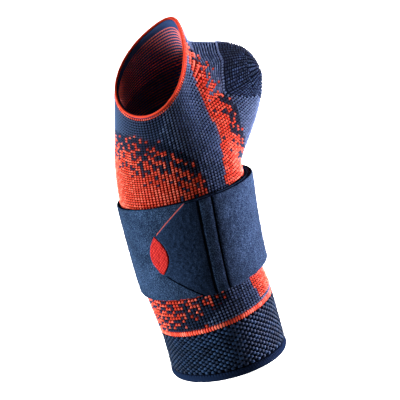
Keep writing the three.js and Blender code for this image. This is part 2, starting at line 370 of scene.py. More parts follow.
@dataclass(frozen=True)
class Tube:
    """The knitted tube's surface, from a turn round the sleeve and a share of its length."""

    pocket: Pocket = Pocket()
    exit: Exit = Exit()
    length_steps: int = 2001
    step: float = 0.002
    least_facing: float = 0.02

    def section(self, along: Array) -> Array:
        """Rows of the section table at shares of the length, on smooth curves.

        Args:
            along: Shares of the length.

        Returns:
            An array with the table's columns on its last axis.
        """
        rows = SECTIONS
        ends = np.vstack([2 * rows[0] - rows[1], rows, 2 * rows[-1] - rows[-2]])
        place = np.clip(along, 0.0, 1.0) * (len(rows) - 1)
        index = np.minimum(place.astype(int), len(rows) - 2)
        share = (place - index)[..., None]
        before, start, end, after = (ends[index + k] for k in range(4))
        leave, arrive = 0.5 * (end - before), 0.5 * (after - start)
        square = -3 * start + 3 * end - 2 * leave - arrive
        cube = 2 * start - 2 * end + leave + arrive
        return start + share * (leave + share * (square + share * cube))

    def along_at(self, height: Array) -> Array:
        """Shares of the length at which the centre line is at heights."""
        shares = np.linspace(0.0, 1.0, self.length_steps)
        return np.interp(height, self.section(shares)[:, 2], shares)

    def plain(self, turn: Array, along: Array, inset: float = 0.0) -> tuple[Array, Array]:
        """The tube with no pocket.

        Args:
            turn: Turns round the sleeve.
            along: Shares of the length.
            inset: How far inside the outer face.

        Returns:
            Points on the face, and the section centres they belong to.
        """
        turn, along = np.broadcast_arrays(np.asarray(turn, float), np.asarray(along, float))
        x, y, z, side, front, half_x, half_y, leaf = np.moveaxis(self.section(along), -1, 0)
        side, front = np.radians(side), np.radians(front)
        angle = 2 * math.pi * turn - math.pi / 4
        corner = np.cos(angle)
        flank = np.sin(angle) * (1 - leaf * corner)
        drawn = corner * (1 + leaf * LEAF_TIP * np.maximum(0.0, corner) ** LEAF_POWER)
        across = (half_x - inset) * (drawn - flank) * math.sqrt(0.5)
        depth = (half_y - inset) * (drawn + flank) * math.sqrt(0.5)
        rise = across * np.sin(side) + depth * np.sin(front)
        points = np.stack([x + across * np.cos(side), y + depth * np.cos(front), z + rise], -1)
        return points, np.stack([x, y, z], -1)

    def spread(self, turn: Array, along: Array, inset: float = 0.0) -> Array:
        """Places over the pocket's egg: level and upright shares of its radii.

        Args:
            turn: Turns round the sleeve.
            along: Shares of the length.
            inset: How far inside the outer face.

        Returns:
            Two shares on the last axis; their length is 1 on the pocket's foot.
        """
        points, _ = self.plain(turn, along, inset)
        offset = points - np.array(self.pocket.seat)
        rise = offset @ UP
        tall = np.where(rise > 0, self.pocket.up_radius, self.pocket.down_radius) - inset
        level = offset @ self.pocket.side / (self.pocket.side_radius - inset)
        return np.stack([level, rise / tall], -1)

    def facing(self, turn: Array, along: Array) -> Array:
        """How much of the pocket's push a place takes, from 0 on the far side to 1."""
        points, centres = self.plain(turn, along)
        return smoothstep((points - centres) @ self.pocket.out, 0.0, self.pocket.ease)

    def ridge_share(self, angle: Array) -> Array:
        """Where the pocket's own knit starts, as a share of its egg, at angles round it in radians."""
        return np.interp(np.degrees(angle), RIDGE[:, 0], RIDGE[:, 1])

    def pocket_angle(self, turn: Array, along: Array) -> Array:
        """Angles of places round the pocket's egg."""
        spread = self.spread(turn, along)
        return np.arctan2(spread[..., 1], spread[..., 0])

    def over_pocket(self, turn: Array, along: Array) -> Array:
        """How far places are from the pocket's crown: 1 on its ridge, and far away off the pocket."""
        spread = self.spread(turn, along)
        ridge = self.ridge_share(self.pocket_angle(turn, along))
        away = np.hypot(spread[..., 0], spread[..., 1]) / ridge
        return np.where(self.facing(turn, along) > self.least_facing, away, FAR)

    def face(self, turn: Array, along: Array, inset: float = 0.0) -> Array:
        """A face of the knit, the outer one with no inset.

        Args:
            turn: Turns round the sleeve.
            along: Shares of the length.
            inset: How far inside the outer face.

        Returns:
            Points in millimetres.
        """
        p = self.pocket
        points, centres = self.plain(turn, along, inset)
        facing = smoothstep((points - centres) @ p.out, 0.0, p.ease)
        clear = smoothstep(1 - np.asarray(along, float), 0.0, p.neck)
        spread = self.spread(turn, along, inset)
        away = np.hypot(spread[..., 0], spread[..., 1])
        fullness = p.fullness + p.fullness_swing * spread[..., 1] / np.maximum(away, TINY)
        room = 1 - np.minimum(away, 1.0) ** fullness
        push = p.reach * room * room / (room + p.fillet) * facing * clear
        return points + push[..., None] * p.out

    def outward(self, turn: Array, along: Array) -> Array:
        """Unit vectors straight out of the outer face."""
        step = self.step
        low, high = np.maximum(along - step, 0.0), np.minimum(along + step, 1.0)
        up = self.face(turn, high) - self.face(turn, low)
        return unit(np.cross(self.face(turn + step, along) - self.face(turn - step, along), up))

    def over(self, turn: Array, along: Array, height: Array) -> Array:
        """Points at heights above the outer face."""
        turn, along, height = np.broadcast_arrays(turn, along, height)
        return self.face(turn, along) + self.outward(turn, along) * height[..., None]

    def locate(
        self, flat: Callable[[Array, Array], Array], targets: Array, turn: Array, along: Array
    ) -> tuple[Array, Array]:
        """Finds the turns and shares at which a flattening of the tube gives wanted values.

        Args:
            flat: Gives two values on the last axis for turns and shares of the length.
            targets: The wanted values.
            turn: Turns to start from.
            along: Shares to start from.

        Returns:
            The turns and the shares.
        """
        step, most, last, rounds = 1e-4, 0.03, 0.999, 6
        for _ in range(rounds):
            miss = flat(turn, along) - targets
            by_turn = (flat(turn + step, along) - flat(turn - step, along)) / (2 * step)
            by_along = (flat(turn, along + step) - flat(turn, along - step)) / (2 * step)
            scale = by_turn[..., 0] * by_along[..., 1] - by_turn[..., 1] * by_along[..., 0]
            scale = np.where(np.abs(scale) < TINY, TINY, scale)
            turn_miss = (miss[..., 0] * by_along[..., 1] - miss[..., 1] * by_along[..., 0]) / scale
            along_miss = (by_turn[..., 0] * miss[..., 1] - by_turn[..., 1] * miss[..., 0]) / scale
            turn = turn - np.clip(turn_miss, -most, most)
            along = np.clip(along - np.clip(along_miss, -most, most), 0.0, last)
        return turn, along


def linear(hex_colour: str) -> tuple[float, float, float, float]:
    """An sRGB hex colour as a linear colour with full alpha."""
    shares = [int(hex_colour[k : k + 2], 16) / 255 for k in (1, 3, 5)]
    curve = [s / 12.92 if s <= 0.04045 else ((s + 0.055) / 1.055) ** 2.4 for s in shares]
    return curve[0], curve[1], curve[2], 1.0


def add_node(
    tree: bpy.types.NodeTree,
    kind: str,
    values: dict[str | int, Any] | None = None,
    links: dict[str | int, bpy.types.NodeSocket] | None = None,
    stops: Sequence[tuple[float, str]] = (),
    **settings: Any,
) -> bpy.types.Node:
    """Adds a node with its settings, socket values and links.

    Args:
        tree: The node tree.
        kind: The node's type name.
        values: Values by input name or number.
        links: Sockets that feed inputs, by input name or number.
        stops: Places and hex colours, rising, where the node has a colour ramp.
        settings: Properties of the node.

    Returns:
        The new node.
    """
    node = tree.nodes.new(kind)
    for name, value in settings.items():
        setattr(node, name, value)
    for name, value in (values or {}).items():
        node.inputs[name].default_value = value
    for name, socket in (links or {}).items():
        tree.links.new(socket, node.inputs[name])
    for number, (place, colour) in enumerate(stops):
        elements = node.color_ramp.elements
        element = elements[number] if number < len(elements) else elements.new(1.0)
        element.position, element.color = place, linear(colour)
    return node


def surface(name: str, values: dict[str, Any]) -> tuple[Material, bpy.types.NodeTree, bpy.types.Node]:
    """A new material whose tree holds only its shader and its output.

    Args:
        name: The material's name.
        values: Values of the shader's sockets.

    Returns:
        The material, its tree and its shader.
    """
    material = bpy.data.materials.new(name)
    material.use_nodes = True
    tree = material.node_tree
    tree.nodes.clear()
    shader = add_node(tree, "ShaderNodeBsdfPrincipled", values)
    add_node(tree, "ShaderNodeOutputMaterial", links={"Surface": shader.outputs["BSDF"]})
    return material, tree, shader


@dataclass(frozen=True)
class YarnFinish:
    """Textured polyamide yarn, spun and knitted: soft, with a pale sheen at a low angle."""

    name: str
    colour: str
    sheen_colour: str
    roughness: float = 0.6
    sheen: float = 0.35
    gloss: float = 0.06
    sheen_roughness: float = 0.45
    ior: float = 1.53

    def material(self) -> Material:
        """The yarn's material; its form is in the stitches, so its colour is even along a thread."""
        values = {
            "Base Color": linear(self.colour),
            "Roughness": self.roughness,
            "IOR": self.ior,
            "Specular IOR Level": self.gloss,
            "Sheen Weight": self.sheen,
            "Sheen Roughness": self.sheen_roughness,
            "Sheen Tint": linear(self.sheen_colour),
        }
        return surface(self.name, values)[0]


@dataclass(frozen=True)
class PileFinish:
    """Brushed loop pile on elastic: mottled fibres with pale tips, dull and deep.

    One fibre is too fine to show, so a fleck stands for a tuft of them.
    """

    name: str
    dark: str
    middle: str
    pale: str
    fleck_mm: float = 0.5
    cloud_mm: float = 9.0
    cloud_share: float = 0.2
    sheen: float = 0.06
    sheen_colour: str = "#7f96c8"
    sheen_roughness: float = 0.5
    gloss: float = 0.02
    tone_places: tuple[float, float, float] = (0.42, 0.6, 0.78)
    bump: float = 0.7
    bump_mm: float = 0.25

    def material(self) -> Material:
        """The pile's material: flecks of paler fibre over slow clouds of tone."""
        values = {
            "Roughness": 1.0,
            "Specular IOR Level": self.gloss,
            "Sheen Weight": self.sheen,
            "Sheen Roughness": self.sheen_roughness,
            "Sheen Tint": linear(self.sheen_colour),
        }
        material, tree, shader = surface(self.name, values)
        place = add_node(tree, "ShaderNodeTexCoord").outputs["Object"]
        fleck = add_node(
            tree,
            "ShaderNodeTexNoise",
            {"Scale": 1 / (self.fleck_mm * MM), "Detail": 3.0, "Roughness": 0.65},
            {"Vector": place},
        )
        cloud = add_node(
            tree,
            "ShaderNodeTexNoise",
            {"Scale": 1 / (self.cloud_mm * MM), "Detail": 2.0},
            {"Vector": place},
        )
        tone = add_node(
            tree,
            "ShaderNodeMath",
            {1: self.cloud_share},
            {0: cloud.outputs["Fac"], 2: fleck.outputs["Fac"]},
            operation="MULTIPLY_ADD",
        )
        colours = add_node(
            tree,
            "ShaderNodeValToRGB",
            links={"Fac": tone.outputs[0]},
            stops=list(zip(self.tone_places, (self.dark, self.middle, self.pale))),
        )
        bump = add_node(
            tree,
            "ShaderNodeBump",
            {"Strength": self.bump, "Distance": self.bump_mm * MM},
            {"Height": fleck.outputs["Fac"]},
        )
        tree.links.new(colours.outputs["Color"], shader.inputs["Base Color"])
        tree.links.new(bump.outputs["Normal"], shader.inputs["Normal"])
        return material


@dataclass(frozen=True)
class WeaveFinish:
    """Fine woven polyester tape: two sets of threads that cross on the slant, with a low gloss.

    The real threads are too fine to show, so they are drawn as far apart as they need to be to show.
    """

    name: str
    low: str
    high: str
    pitch_mm: float = 1.1
    slant_degrees: float = 38.0
    tone_places: tuple[float, float] = (0.05, 0.6)
    roughness: float = 0.7
    gloss: float = 0.06
    bump: float = 0.6
    bump_mm: float = 0.2

    def material(self) -> Material:
        """The tape's material: the crossing threads lift and brighten the colour."""
        values = {"Roughness": self.roughness, "Specular IOR Level": self.gloss}
        material, tree, shader = surface(self.name, values)
        place = add_node(tree, "ShaderNodeTexCoord").outputs["Object"]
        # A band wave repeats every pi / 10 units at scale 1.
        scale = math.pi / 10 / (self.pitch_mm * MM)
        waves = []
        for sign in (1, -1):
            turned = add_node(
                tree,
                "ShaderNodeMapping",
                {"Rotation": (0.0, sign * math.radians(self.slant_degrees), 0.0)},
                {"Vector": place},
            )
            wave = add_node(
                tree,
                "ShaderNodeTexWave",
                {"Scale": scale, "Distortion": 0.4, "Detail": 1.0, "Detail Scale": 2.0},
                {"Vector": turned.outputs["Vector"]},
                bands_direction="X",
            )
            waves.append(wave.outputs["Fac"])
        crossed = add_node(tree, "ShaderNodeMath", links=dict(enumerate(waves)), operation="MULTIPLY")
        colours = add_node(
            tree,
            "ShaderNodeValToRGB",
            links={"Fac": crossed.outputs[0]},
            stops=list(zip(self.tone_places, (self.low, self.high))),
        )
        bump = add_node(
            tree,
            "ShaderNodeBump",
            {"Strength": self.bump, "Distance": self.bump_mm * MM},
            {"Height": crossed.outputs[0]},
        )
        tree.links.new(colours.outputs["Color"], shader.inputs["Base Color"])
        tree.links.new(bump.outputs["Normal"], shader.inputs["Normal"])
        return material


def yarn_tones(
    name: str, sheen_colour: str, tones: dict[str, str], **finish: float
) -> tuple[YarnFinish, ...]:
    """One yarn in several tones.

    Args:
        name: The yarn's name.
        sheen_colour: Hex colour of its sheen.
        tones: Hex colours by the tone's name.
        finish: Other values of the finish.

    Returns:
        The tones, in the order given.
    """
    return tuple(
        YarnFinish(f"{name}_{tone}", colour, sheen_colour, **finish) for tone, colour in tones.items()
    )


NAVY_SHEEN, ORANGE_SHEEN = "#8ea4e0", "#ff9a70"
# Values of a finish with no sheen or gloss of its own, as on the knit's backing and on cut edges.
SHADED = {"roughness": 1.0, "sheen": 0.0, "gloss": 0.0}

# Navy polyamide, plain knitted: dull loops with a cool bloom where they turn away from the eye. Its darker
# and paler tones also carry painted shade and painted light.
NAVY_YARNS = yarn_tones(
    "navy_polyamide_yarn",
    NAVY_SHEEN,
    {"deep": "#263247", "dark": "#3d4b64", "middle": "#566583", "pale": "#647392"},
    sheen=0.12,
)
# The same polyamide knitted tight in the cuff: nearly black, with a hint of blue on each raised bead.
CUFF_YARNS = yarn_tones(
    "cuff_polyamide_yarn",
    NAVY_SHEEN,
    {"deep": "#0a1422", "middle": "#0f1b2c", "pale": "#162539"},
    sheen=0.08,
    gloss=0.04,
)
# The same polyamide knitted flat over the pocket: dark, with little shine; its tones mix random tone with
# painted shade that is darkest at the pocket's top.
POCKET_YARNS = yarn_tones(
    "pocket_polyamide_yarn",
    NAVY_SHEEN,
    {"deep": "#0a111d", "dark": "#131c2e", "middle": "#27344e", "pale": "#36445f"},
    sheen=0.03,
    gloss=0.02,
)
# Orange dyed polyamide, plain knitted: vivid loops that glow warm at their edges.
ORANGE_YARNS = yarn_tones(
    "orange_polyamide_yarn",
    ORANGE_SHEEN,
    {"deep": "#e04a34", "middle": "#ee5c45", "pale": "#fb745b"},
    sheen=0.15,
)
# Elastic backing yarn under navy or orange stitches, all but black and dark rust red: the real backing,
# coloured as painted shade in the gaps between stitches.
NAVY_GROUND_SHADE = YarnFinish("navy_backing_painted_shade", "#04060c", "#20283c", **SHADED)
ORANGE_GROUND_SHADE = YarnFinish("orange_backing_painted_shade", "#4a0c05", "#602018", **SHADED)
# The backing's inner face: a plain, chalky navy.
INNER_GROUND = YarnFinish("inner_elastic_backing", "#2a3652", "#303858", **SHADED)
# Orange yarn floating loose on the inner face: dusty red lines, in tones of painted shade that grow darker
# the deeper they lie inside the sleeve.
FLOAT_SHADE_YARNS = yarn_tones(
    "inner_polyamide_float_shaded",
    "#a04030",
    {"lit": "#dc6a5c", "middle": "#cc5a4b", "deep": "#8a3c34"},
    roughness=0.9,
    sheen=0.0,
    gloss=0.1,
)
# Whipped polyamide round the hems: matt navy at the forearm and thumb, matt orange at the hand.
HEM_YARN = YarnFinish("hem_polyamide_yarn", "#111a2b", NAVY_SHEEN, 0.9, 0.03, 0.0)
RIM_YARN = YarnFinish("rim_polyamide_yarn", "#bc3620", ORANGE_SHEEN, 0.8, 0.03, 0.03)
# Brushed polyamide loop pile: a soft blue-grey mottle on the strap, darker and flatter on the flap.
STRAP_PILE = PileFinish("strap_brushed_pile", "#090f18", "#172231", "#3a4b64")
FLAP_PILE = PileFinish("flap_brushed_pile", "#0c141f", "#172234", "#2a394e", cloud_share=0.15, sheen=0.03)
# Hot-cut edge of the strap: a thin black line round each layer. The same near black also serves as painted
# shade in the seams and painted shadow on the flap's fold.
STRAP_EDGE_AND_SHADE = YarnFinish("strap_hot_cut_edge_and_shade", "#060a12", "#303a5c", **SHADED)
# Woven polyester tape of the pull tab: deep red with fine slanting threads.
TAB_WEAVE = WeaveFinish("tab_woven_polyester", "#84110f", "#b8261b")
# Thin polyester piping on the flap's upper edge: a dull coral line.
PIPING_YARN = YarnFinish("piping_polyester_yarn", "#9c4234", "#e08868", 0.8, 0.05)


def grid_faces(rows: int, columns: int, wrap_rows: bool, wrap_columns: bool) -> Array:
    """Quads over a grid of points stored row by row.

    Args:
        rows: Points along the first axis.
        columns: Points along the second axis.
        wrap_rows: Whether the last row joins the first.
        wrap_columns: Whether the last column joins the first.

    Returns:
        Four point numbers for each quad, turned so that first axis times second points out.
    """
    r = np.arange(rows if wrap_rows else rows - 1)[:, None]
    c = np.arange(columns if wrap_columns else columns - 1)[None, :]
    r1, c1 = (r + 1) % rows, (c + 1) % columns
    corners = (r * columns + c, r1 * columns + c, r1 * columns + c1, r * columns + c1)
    return np.stack(corners, -1).reshape(-1, 4)


def declare(piece: Piece, node: str | None) -> Piece:
    """Rides a piece on the part, and hides the solid that it stands for.

    Args:
        piece: The piece, in place.
        node: The solid's node, if it stands for one.

    Returns:
        The piece.
    """
    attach(piece, "root")
    if node:
        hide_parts(node)
    log.info("%s: %d faces", piece.name, len(piece.data.polygons))
    return piece


def mesh_piece(
    name: str,
    points: Array,
    faces: Array,
    finishes: Sequence[Material],
    face_finish: Array | None = None,
    node: str | None = None,
) -> Piece:
    """A new smooth piece at the origin that rides on the part.

    Args:
        name: The piece's name.
        points: Places in millimetres.
        faces: Point numbers, the same count for each face.
        finishes: Its materials.
        face_finish: Each face's material number.
        node: The solid's node, if it stands for one.

    Returns:
        The piece.
    """
    mesh = bpy.data.meshes.new(name)
    places = np.asarray(points, dtype=np.float32).reshape(-1, 3) * MM
    mesh.vertices.add(len(places))
    mesh.vertices.foreach_set("co", places.ravel())
    mesh.loops.add(faces.size)
    mesh.loops.foreach_set("vertex_index", faces.astype(np.int32).ravel())
    mesh.polygons.add(len(faces))
    mesh.polygons.foreach_set("loop_start", np.arange(len(faces), dtype=np.int32) * faces.shape[1])
    mesh.polygons.foreach_set("use_smooth", np.full(len(faces), True))
    for finish in finishes:
        mesh.materials.append(finish)
    if face_finish is not None:
        mesh.polygons.foreach_set("material_index", np.asarray(face_finish, dtype=np.int32))
    mesh.update(calc_edges=True)
    mesh.validate()
    piece = bpy.data.objects.new(name, mesh)
    bpy.context.collection.objects.link(piece)
    return declare(piece, node)


@dataclass(frozen=True)
class Strand:
    """A short closed length of yarn in its cell: across, along and height over the knit.

    Across and along are shares of the cell, and height is in millimetres.
    """

    points: Array
    faces: Array

    @staticmethod
    def through(stations: Array, sides: int = 5, level: bool = False) -> "Strand":
        """A strand through oval sections.

        Args:
            stations: Rows of across, along, height, half width and half height.
            sides: Sides of a section.
            level: Whether the strand runs across the cell and not along it.

        Returns:
            The strand, facing out.
        """
        angle = 2 * math.pi * np.arange(sides) / sides + math.pi / 2
        centre, wide, high = stations[:, None, :3], stations[:, 3:4], stations[:, 4:5]
        oval = np.zeros((len(stations), sides, 3))
        oval[..., 1 if level else 0] = wide * np.cos(angle)
        oval[..., 2] = high * np.sin(angle)
        points = (centre + oval).reshape(-1, 3)
        walls = grid_faces(len(stations), sides, False, True)
        faces = np.vstack([walls[:, [0, 1, 2]], walls[:, [0, 2, 3]]])
        fan = np.array([(0, k, k + 1) for k in range(1, sides - 1)])
        last = (len(stations) - 1) * sides
        faces = np.vstack([faces, fan[:, ::-1], fan + last])
        a, b, c = (points[faces[:, k]] for k in range(3))
        if np.sum(a * np.cross(b, c)) < 0:
            faces = faces[:, ::-1]
        return Strand(points, faces)

    def and_with(self, other: "Strand") -> "Strand":
        """This strand and another as one."""
        faces = np.vstack([self.faces, other.faces + len(self.points)])
        return Strand(np.vstack([self.points, other.points]), faces)


def loop_stitch(lift: float = 0.0, flat: float = 1.0) -> Strand:
    """One knitted loop: two legs that meet at the top.

    Args:
        lift: How far it stands over the plain knit, in millimetres.
        flat: Its height as a share of a full loop's.

    Returns:
        The loop.
    """
    legs = []
    for side in (1, -1):
        leg = LEG * np.array([side, 1.0, flat, 1.0, flat])
        leg[:, 2] += lift
        legs.append(Strand.through(leg, sides=4))
    return legs[0].and_with(legs[1])


def bead(wide: float, tall: float, high: float, sink: float) -> Strand:
    """A short raised bead of yarn.

    Args:
        wide: Half width, as a share of the cell.
        tall: Half length, as a share of the cell.
        high: Half height in millimetres.
        sink: Depth of its middle under the knit's face, in millimetres.

    Returns:
        The bead.
    """
    return Strand.through(BEAD * np.array([wide, tall, sink, wide, high]))


@dataclass
class Cells:
    """Places for strands: each has a centre, a cell across and along, and a way out."""

    centre: Array
    across: Array
    along: Array
    out: Array

    @staticmethod
    def joined(rows: Sequence["Cells"]) -> "Cells":
        """Several sets of cells as one."""
        parts = ("centre", "across", "along", "out")
        return Cells(*(np.concatenate([getattr(row, part) for row in rows]) for part in parts))

    @staticmethod
    def of(centre: Array, across: Array, along: Array) -> "Cells":
        """Cells whose way out is square to both sides."""
        return Cells(centre, across, along, unit(np.cross(across, along)))

    def where(self, keep: Array) -> "Cells":
        """Only some of the cells."""
        return Cells(self.centre[keep], self.across[keep], self.along[keep], self.out[keep])

    def fill(self, strand: Strand) -> tuple[Array, Array]:
        """The same strand in every cell.

        Args:
            strand: The strand.

        Returns:
            Points in millimetres, and faces.
        """
        u, v, h = (strand.points[None, :, k, None] for k in range(3))
        points = self.centre[:, None] + self.across[:, None] * u + self.along[:, None] * v
        points = points + self.out[:, None] * h
        step = np.arange(len(self.centre))[:, None, None] * len(strand.points)
        return points.reshape(-1, 3), (strand.faces[None] + step).reshape(-1, 3)


def strand_piece(
    name: str, cells: Cells, strand: Strand, finishes: Sequence[Material], tones: Array
) -> Piece:
    """One piece of many alike strands, each in one of several tones.

    Args:
        name: The piece's name.
        cells: Where the strands go.
        strand: The strand.
        finishes: The tones' materials.
        tones: Each strand's tone number.

    Returns:
        The piece.
    """
    points, faces = cells.fill(strand)
    return mesh_piece(name, points, faces, finishes, np.repeat(tones, len(strand.faces)))


@dataclass
class Courses:
    """Plain knit laid in courses: stitches a wale apart, counted both ways round from the front."""

    tube: Tube = field(default_factory=Tube)
    wale: float = 1.75
    course: float = 1.65
    steps: int = 401

    def runs(self, height: Array) -> tuple[Array, Array]:
        """Distances along courses from the front, each way round.

        Args:
            height: Heights of the courses on the centre line.

        Returns:
            Turns away from the front, and the distances by course, way and turn.
        """
        away = np.linspace(0.0, 0.5, self.steps)
        ways = np.array([1.0, -1.0])[None, :, None]
        points = self.tube.face(FRONT + ways * away, self.tube.along_at(height)[:, None, None])
        steps = np.linalg.norm(np.diff(points, axis=2), axis=-1)
        start = np.zeros((*steps.shape[:2], 1))
        return away, np.concatenate([start, np.cumsum(steps, axis=2)], axis=2)

    def stitches(self, low: float, high: float) -> "Stitches":
        """The stitches between two heights.

        Args:
            low: The lowest height on the centre line.
            high: The highest height on the centre line.

        Returns:
            The stitches, whose wales lean with the surface.
        """
        numbers = np.arange(math.ceil(low / self.course), math.floor(high / self.course) + 1)
        heights = numbers * self.course
        away, run = self.runs(heights)
        below, above = (self.runs(heights + part * self.course)[1] for part in (-0.5, 0.5))
        rows = []
        for c, number in enumerate(numbers):
            for w, way in enumerate((1, -1)):
                length = run[c, w, -1]
                count = round(length / self.wale)
                edge = np.append(np.arange(count) * self.wale, length)
                middle = (edge[1:] + edge[:-1]) / 2
                wale = np.arange(count) if way > 0 else -1 - np.arange(count)
                spots = [(middle, run), (edge[:-1], run), (edge[1:], run), (middle, below), (middle, above)]
                turns = [FRONT + way * np.interp(at, table[c, w], away) for at, table in spots]
                left, right = (turns[1], turns[2])[::way]
                rows.append(np.stack([wale, np.full(count, number), turns[0], left, right, *turns[3:]]))
        wale, number, turn, left, right, under, over = np.concatenate(rows, axis=1)
        height = number * self.course
        along = self.tube.along_at(height)
        ends = [self.tube.along_at(height + part * self.course) for part in (-0.5, 0.5)]
        across = self.tube.face(right, along) - self.tube.face(left, along)
        up = self.tube.face(over, ends[1]) - self.tube.face(under, ends[0])
        cells = Cells.of(self.tube.face(turn, along), across, up)
        return Stitches(wale.astype(int), number.astype(int), turn, height, along, cells)

    def wale_at(self, turn: Array, number: Array) -> Array:
        """The wales that places on courses belong to.

        Args:
            turn: Turns round the sleeve.
            number: Course numbers.

        Returns:
            Wale numbers.
        """
        offset = np.mod(turn - FRONT + 0.5, 1.0) - 0.5
        wale = np.zeros(turn.shape, dtype=int)
        courses = np.unique(number)
        away, run = self.runs(courses * self.course)
        for c, course in enumerate(courses):
            for w, way in enumerate((1, -1)):
                pick = (number == course) & (offset * way >= 0)
                count = np.floor(np.interp(np.abs(offset[pick]), away, run[c, w]) / self.wale).astype(int)
                wale[pick] = count if way > 0 else -1 - count
        return wale


@dataclass
class Stitches:
    """Stitches by wale and course, with their places and cells."""

    wale: Array
    course: Array
    turn: Array
    height: Array
    along: Array
    cells: Cells


@dataclass
class Pattern:
    """Which yarn each stitch of the sleeve takes: solid zones that fade stitch by stitch."""

    strap_height: float = 0.0
    # How much of the draw is random, and how much of it goes by turns from wale to wale.
    scatter: float = 0.4
    every_other: float = 0.15
    # The band's share at its front edge, and what it loses in its solid part and past it.
    band_full: float = 0.97
    band_inner_loss: float = 0.22
    band_outer_loss: float = 0.75
    # How the side zone's fade is bent.
    side_power: float = 0.65
    # The zone below the strap: its share in the middle, what it loses by turns from there and over a
    # drop below its top, where it stops at the front, and its greatest share.
    low_full: float = 1.08
    low_middle: float = 0.52
    low_turn_loss: float = 2.8
    low_top: float = -19.0
    low_drop: float = 14.0
    low_drop_loss: float = 0.45
    low_stop: float = 0.81
    low_most: float = 0.66
    # The block below the strap: its slanting front edge, its foot and its end behind.
    block_edge: float = 0.886
    block_slant: float = 0.0006
    block_top: float = -21.0
    block_foot: float = -33.2
    block_end: float = 1.12

    def share(self, turn: Array, height: Array) -> Array:
        """How much of the knit is orange round a place.

        Args:
            turn: Turns round the sleeve.
            height: Heights on the centre line.

        Returns:
            Shares from 0 to 1.
        """
        turn = np.mod(turn, 1.0)
        ahead = np.where(turn < BACK, turn + 1.0, turn)
        above = height > self.strap_height
        shares = [self.band(ahead, height) * above, self.side_zone(turn, height) * above]
        shares += [self.low_zone(turn, height) * ~above, self.low_block(ahead, height) * ~above]
        return np.maximum.reduce(shares)

    def band(self, ahead: Array, height: Array) -> Array:
        """Share of orange in the band on the thumb side, sharp in front and fading behind."""
        front, solid, last = (np.interp(height, BAND_EDGES[:, 0], BAND_EDGES[:, k]) for k in (1, 2, 3))
        inner = np.clip((ahead - front) / (solid - front), 0.0, 1.0)
        outer = np.clip((ahead - solid) / (last - solid), 0.0, 1.0)
        share = self.band_full - self.band_inner_loss * inner**2 - self.band_outer_loss * outer
        return np.where(ahead >= front, share, 0.0)

    def side_zone(self, turn: Array, height: Array) -> Array:
        """Share of orange in the zone on the other side, which fades upwards."""
        solid, last = (np.interp(turn, SIDE_ZONE[:, 0], SIDE_ZONE[:, k], -FAR, -FAR) for k in (1, 2))
        return np.clip((last - height) / np.maximum(last - solid, 1.0), 0.0, 1.0) ** self.side_power

    def low_zone(self, turn: Array, height: Array) -> Array:
        """Share of orange below the strap on the other side, thinning downwards and to the front."""
        share = self.low_full - self.low_turn_loss * np.abs(turn - self.low_middle)
        share = share - self.low_drop_loss * np.clip((self.low_top - height) / self.low_drop, 0.0, 1.0)
        inside = (turn > BACK) & (turn < self.low_stop)
        return np.where(inside, np.clip(share, 0.0, self.low_most), 0.0)

    def low_block(self, ahead: Array, height: Array) -> Array:
        """Share of orange in the block below the strap on the thumb side."""
        left = self.block_edge - self.block_slant * (height - self.block_top)
        return ((height > self.block_foot) & (ahead > left) & (ahead < self.block_end)).astype(float)

    def orange(self, wale: Array, course: Array, turn: Array, height: Array) -> Array:
        """Whether stitches are orange.

        Args:
            wale: Wale numbers.
            course: Course numbers.
            turn: Turns round the sleeve.
            height: Heights on the centre line.

        Returns:
            True for orange.
        """
        # Most of the draw is spread evenly over upright pairs, or over single stitches below the strap, so
        # colours come in short runs, not blots.
        shift = np.floor(2 * chance(wale, Draw.PAIR)).astype(int)
        row = np.where(height > self.strap_height, (course + shift) // 2, course)
        pair = np.mod(wale * SPREAD[0] + row * SPREAD[1], 1.0)
        draw = (1 - self.scatter) * pair + self.scatter * chance(wale, course + Draw.COLOUR)
        near, rim, core = np.minimum(draw, 1 - draw), self.scatter, 1 - self.scatter
        even = np.where(near < rim, near**2 / (2 * rim), near - rim / 2) / core
        even = np.where(draw < 0.5, even, 1 - even)
        even = (1 - self.every_other) * even + self.every_other * (wale % 2)
        return self.share(turn, height) > even


@dataclass
class Fan:
    """Rays across the pocket's ridge: angles in degrees, shares, places, points and runs from the ridge."""

    degrees: Array
    shares: Array
    turn: Array
    along: Array
    points: Array
    run: Array

    def at(self, values: Array, far: Array) -> Array:
        """Values on each ray at its own run from the ridge."""
        return np.array([np.interp(d, run, row) for d, run, row in zip(far, self.run, values)])


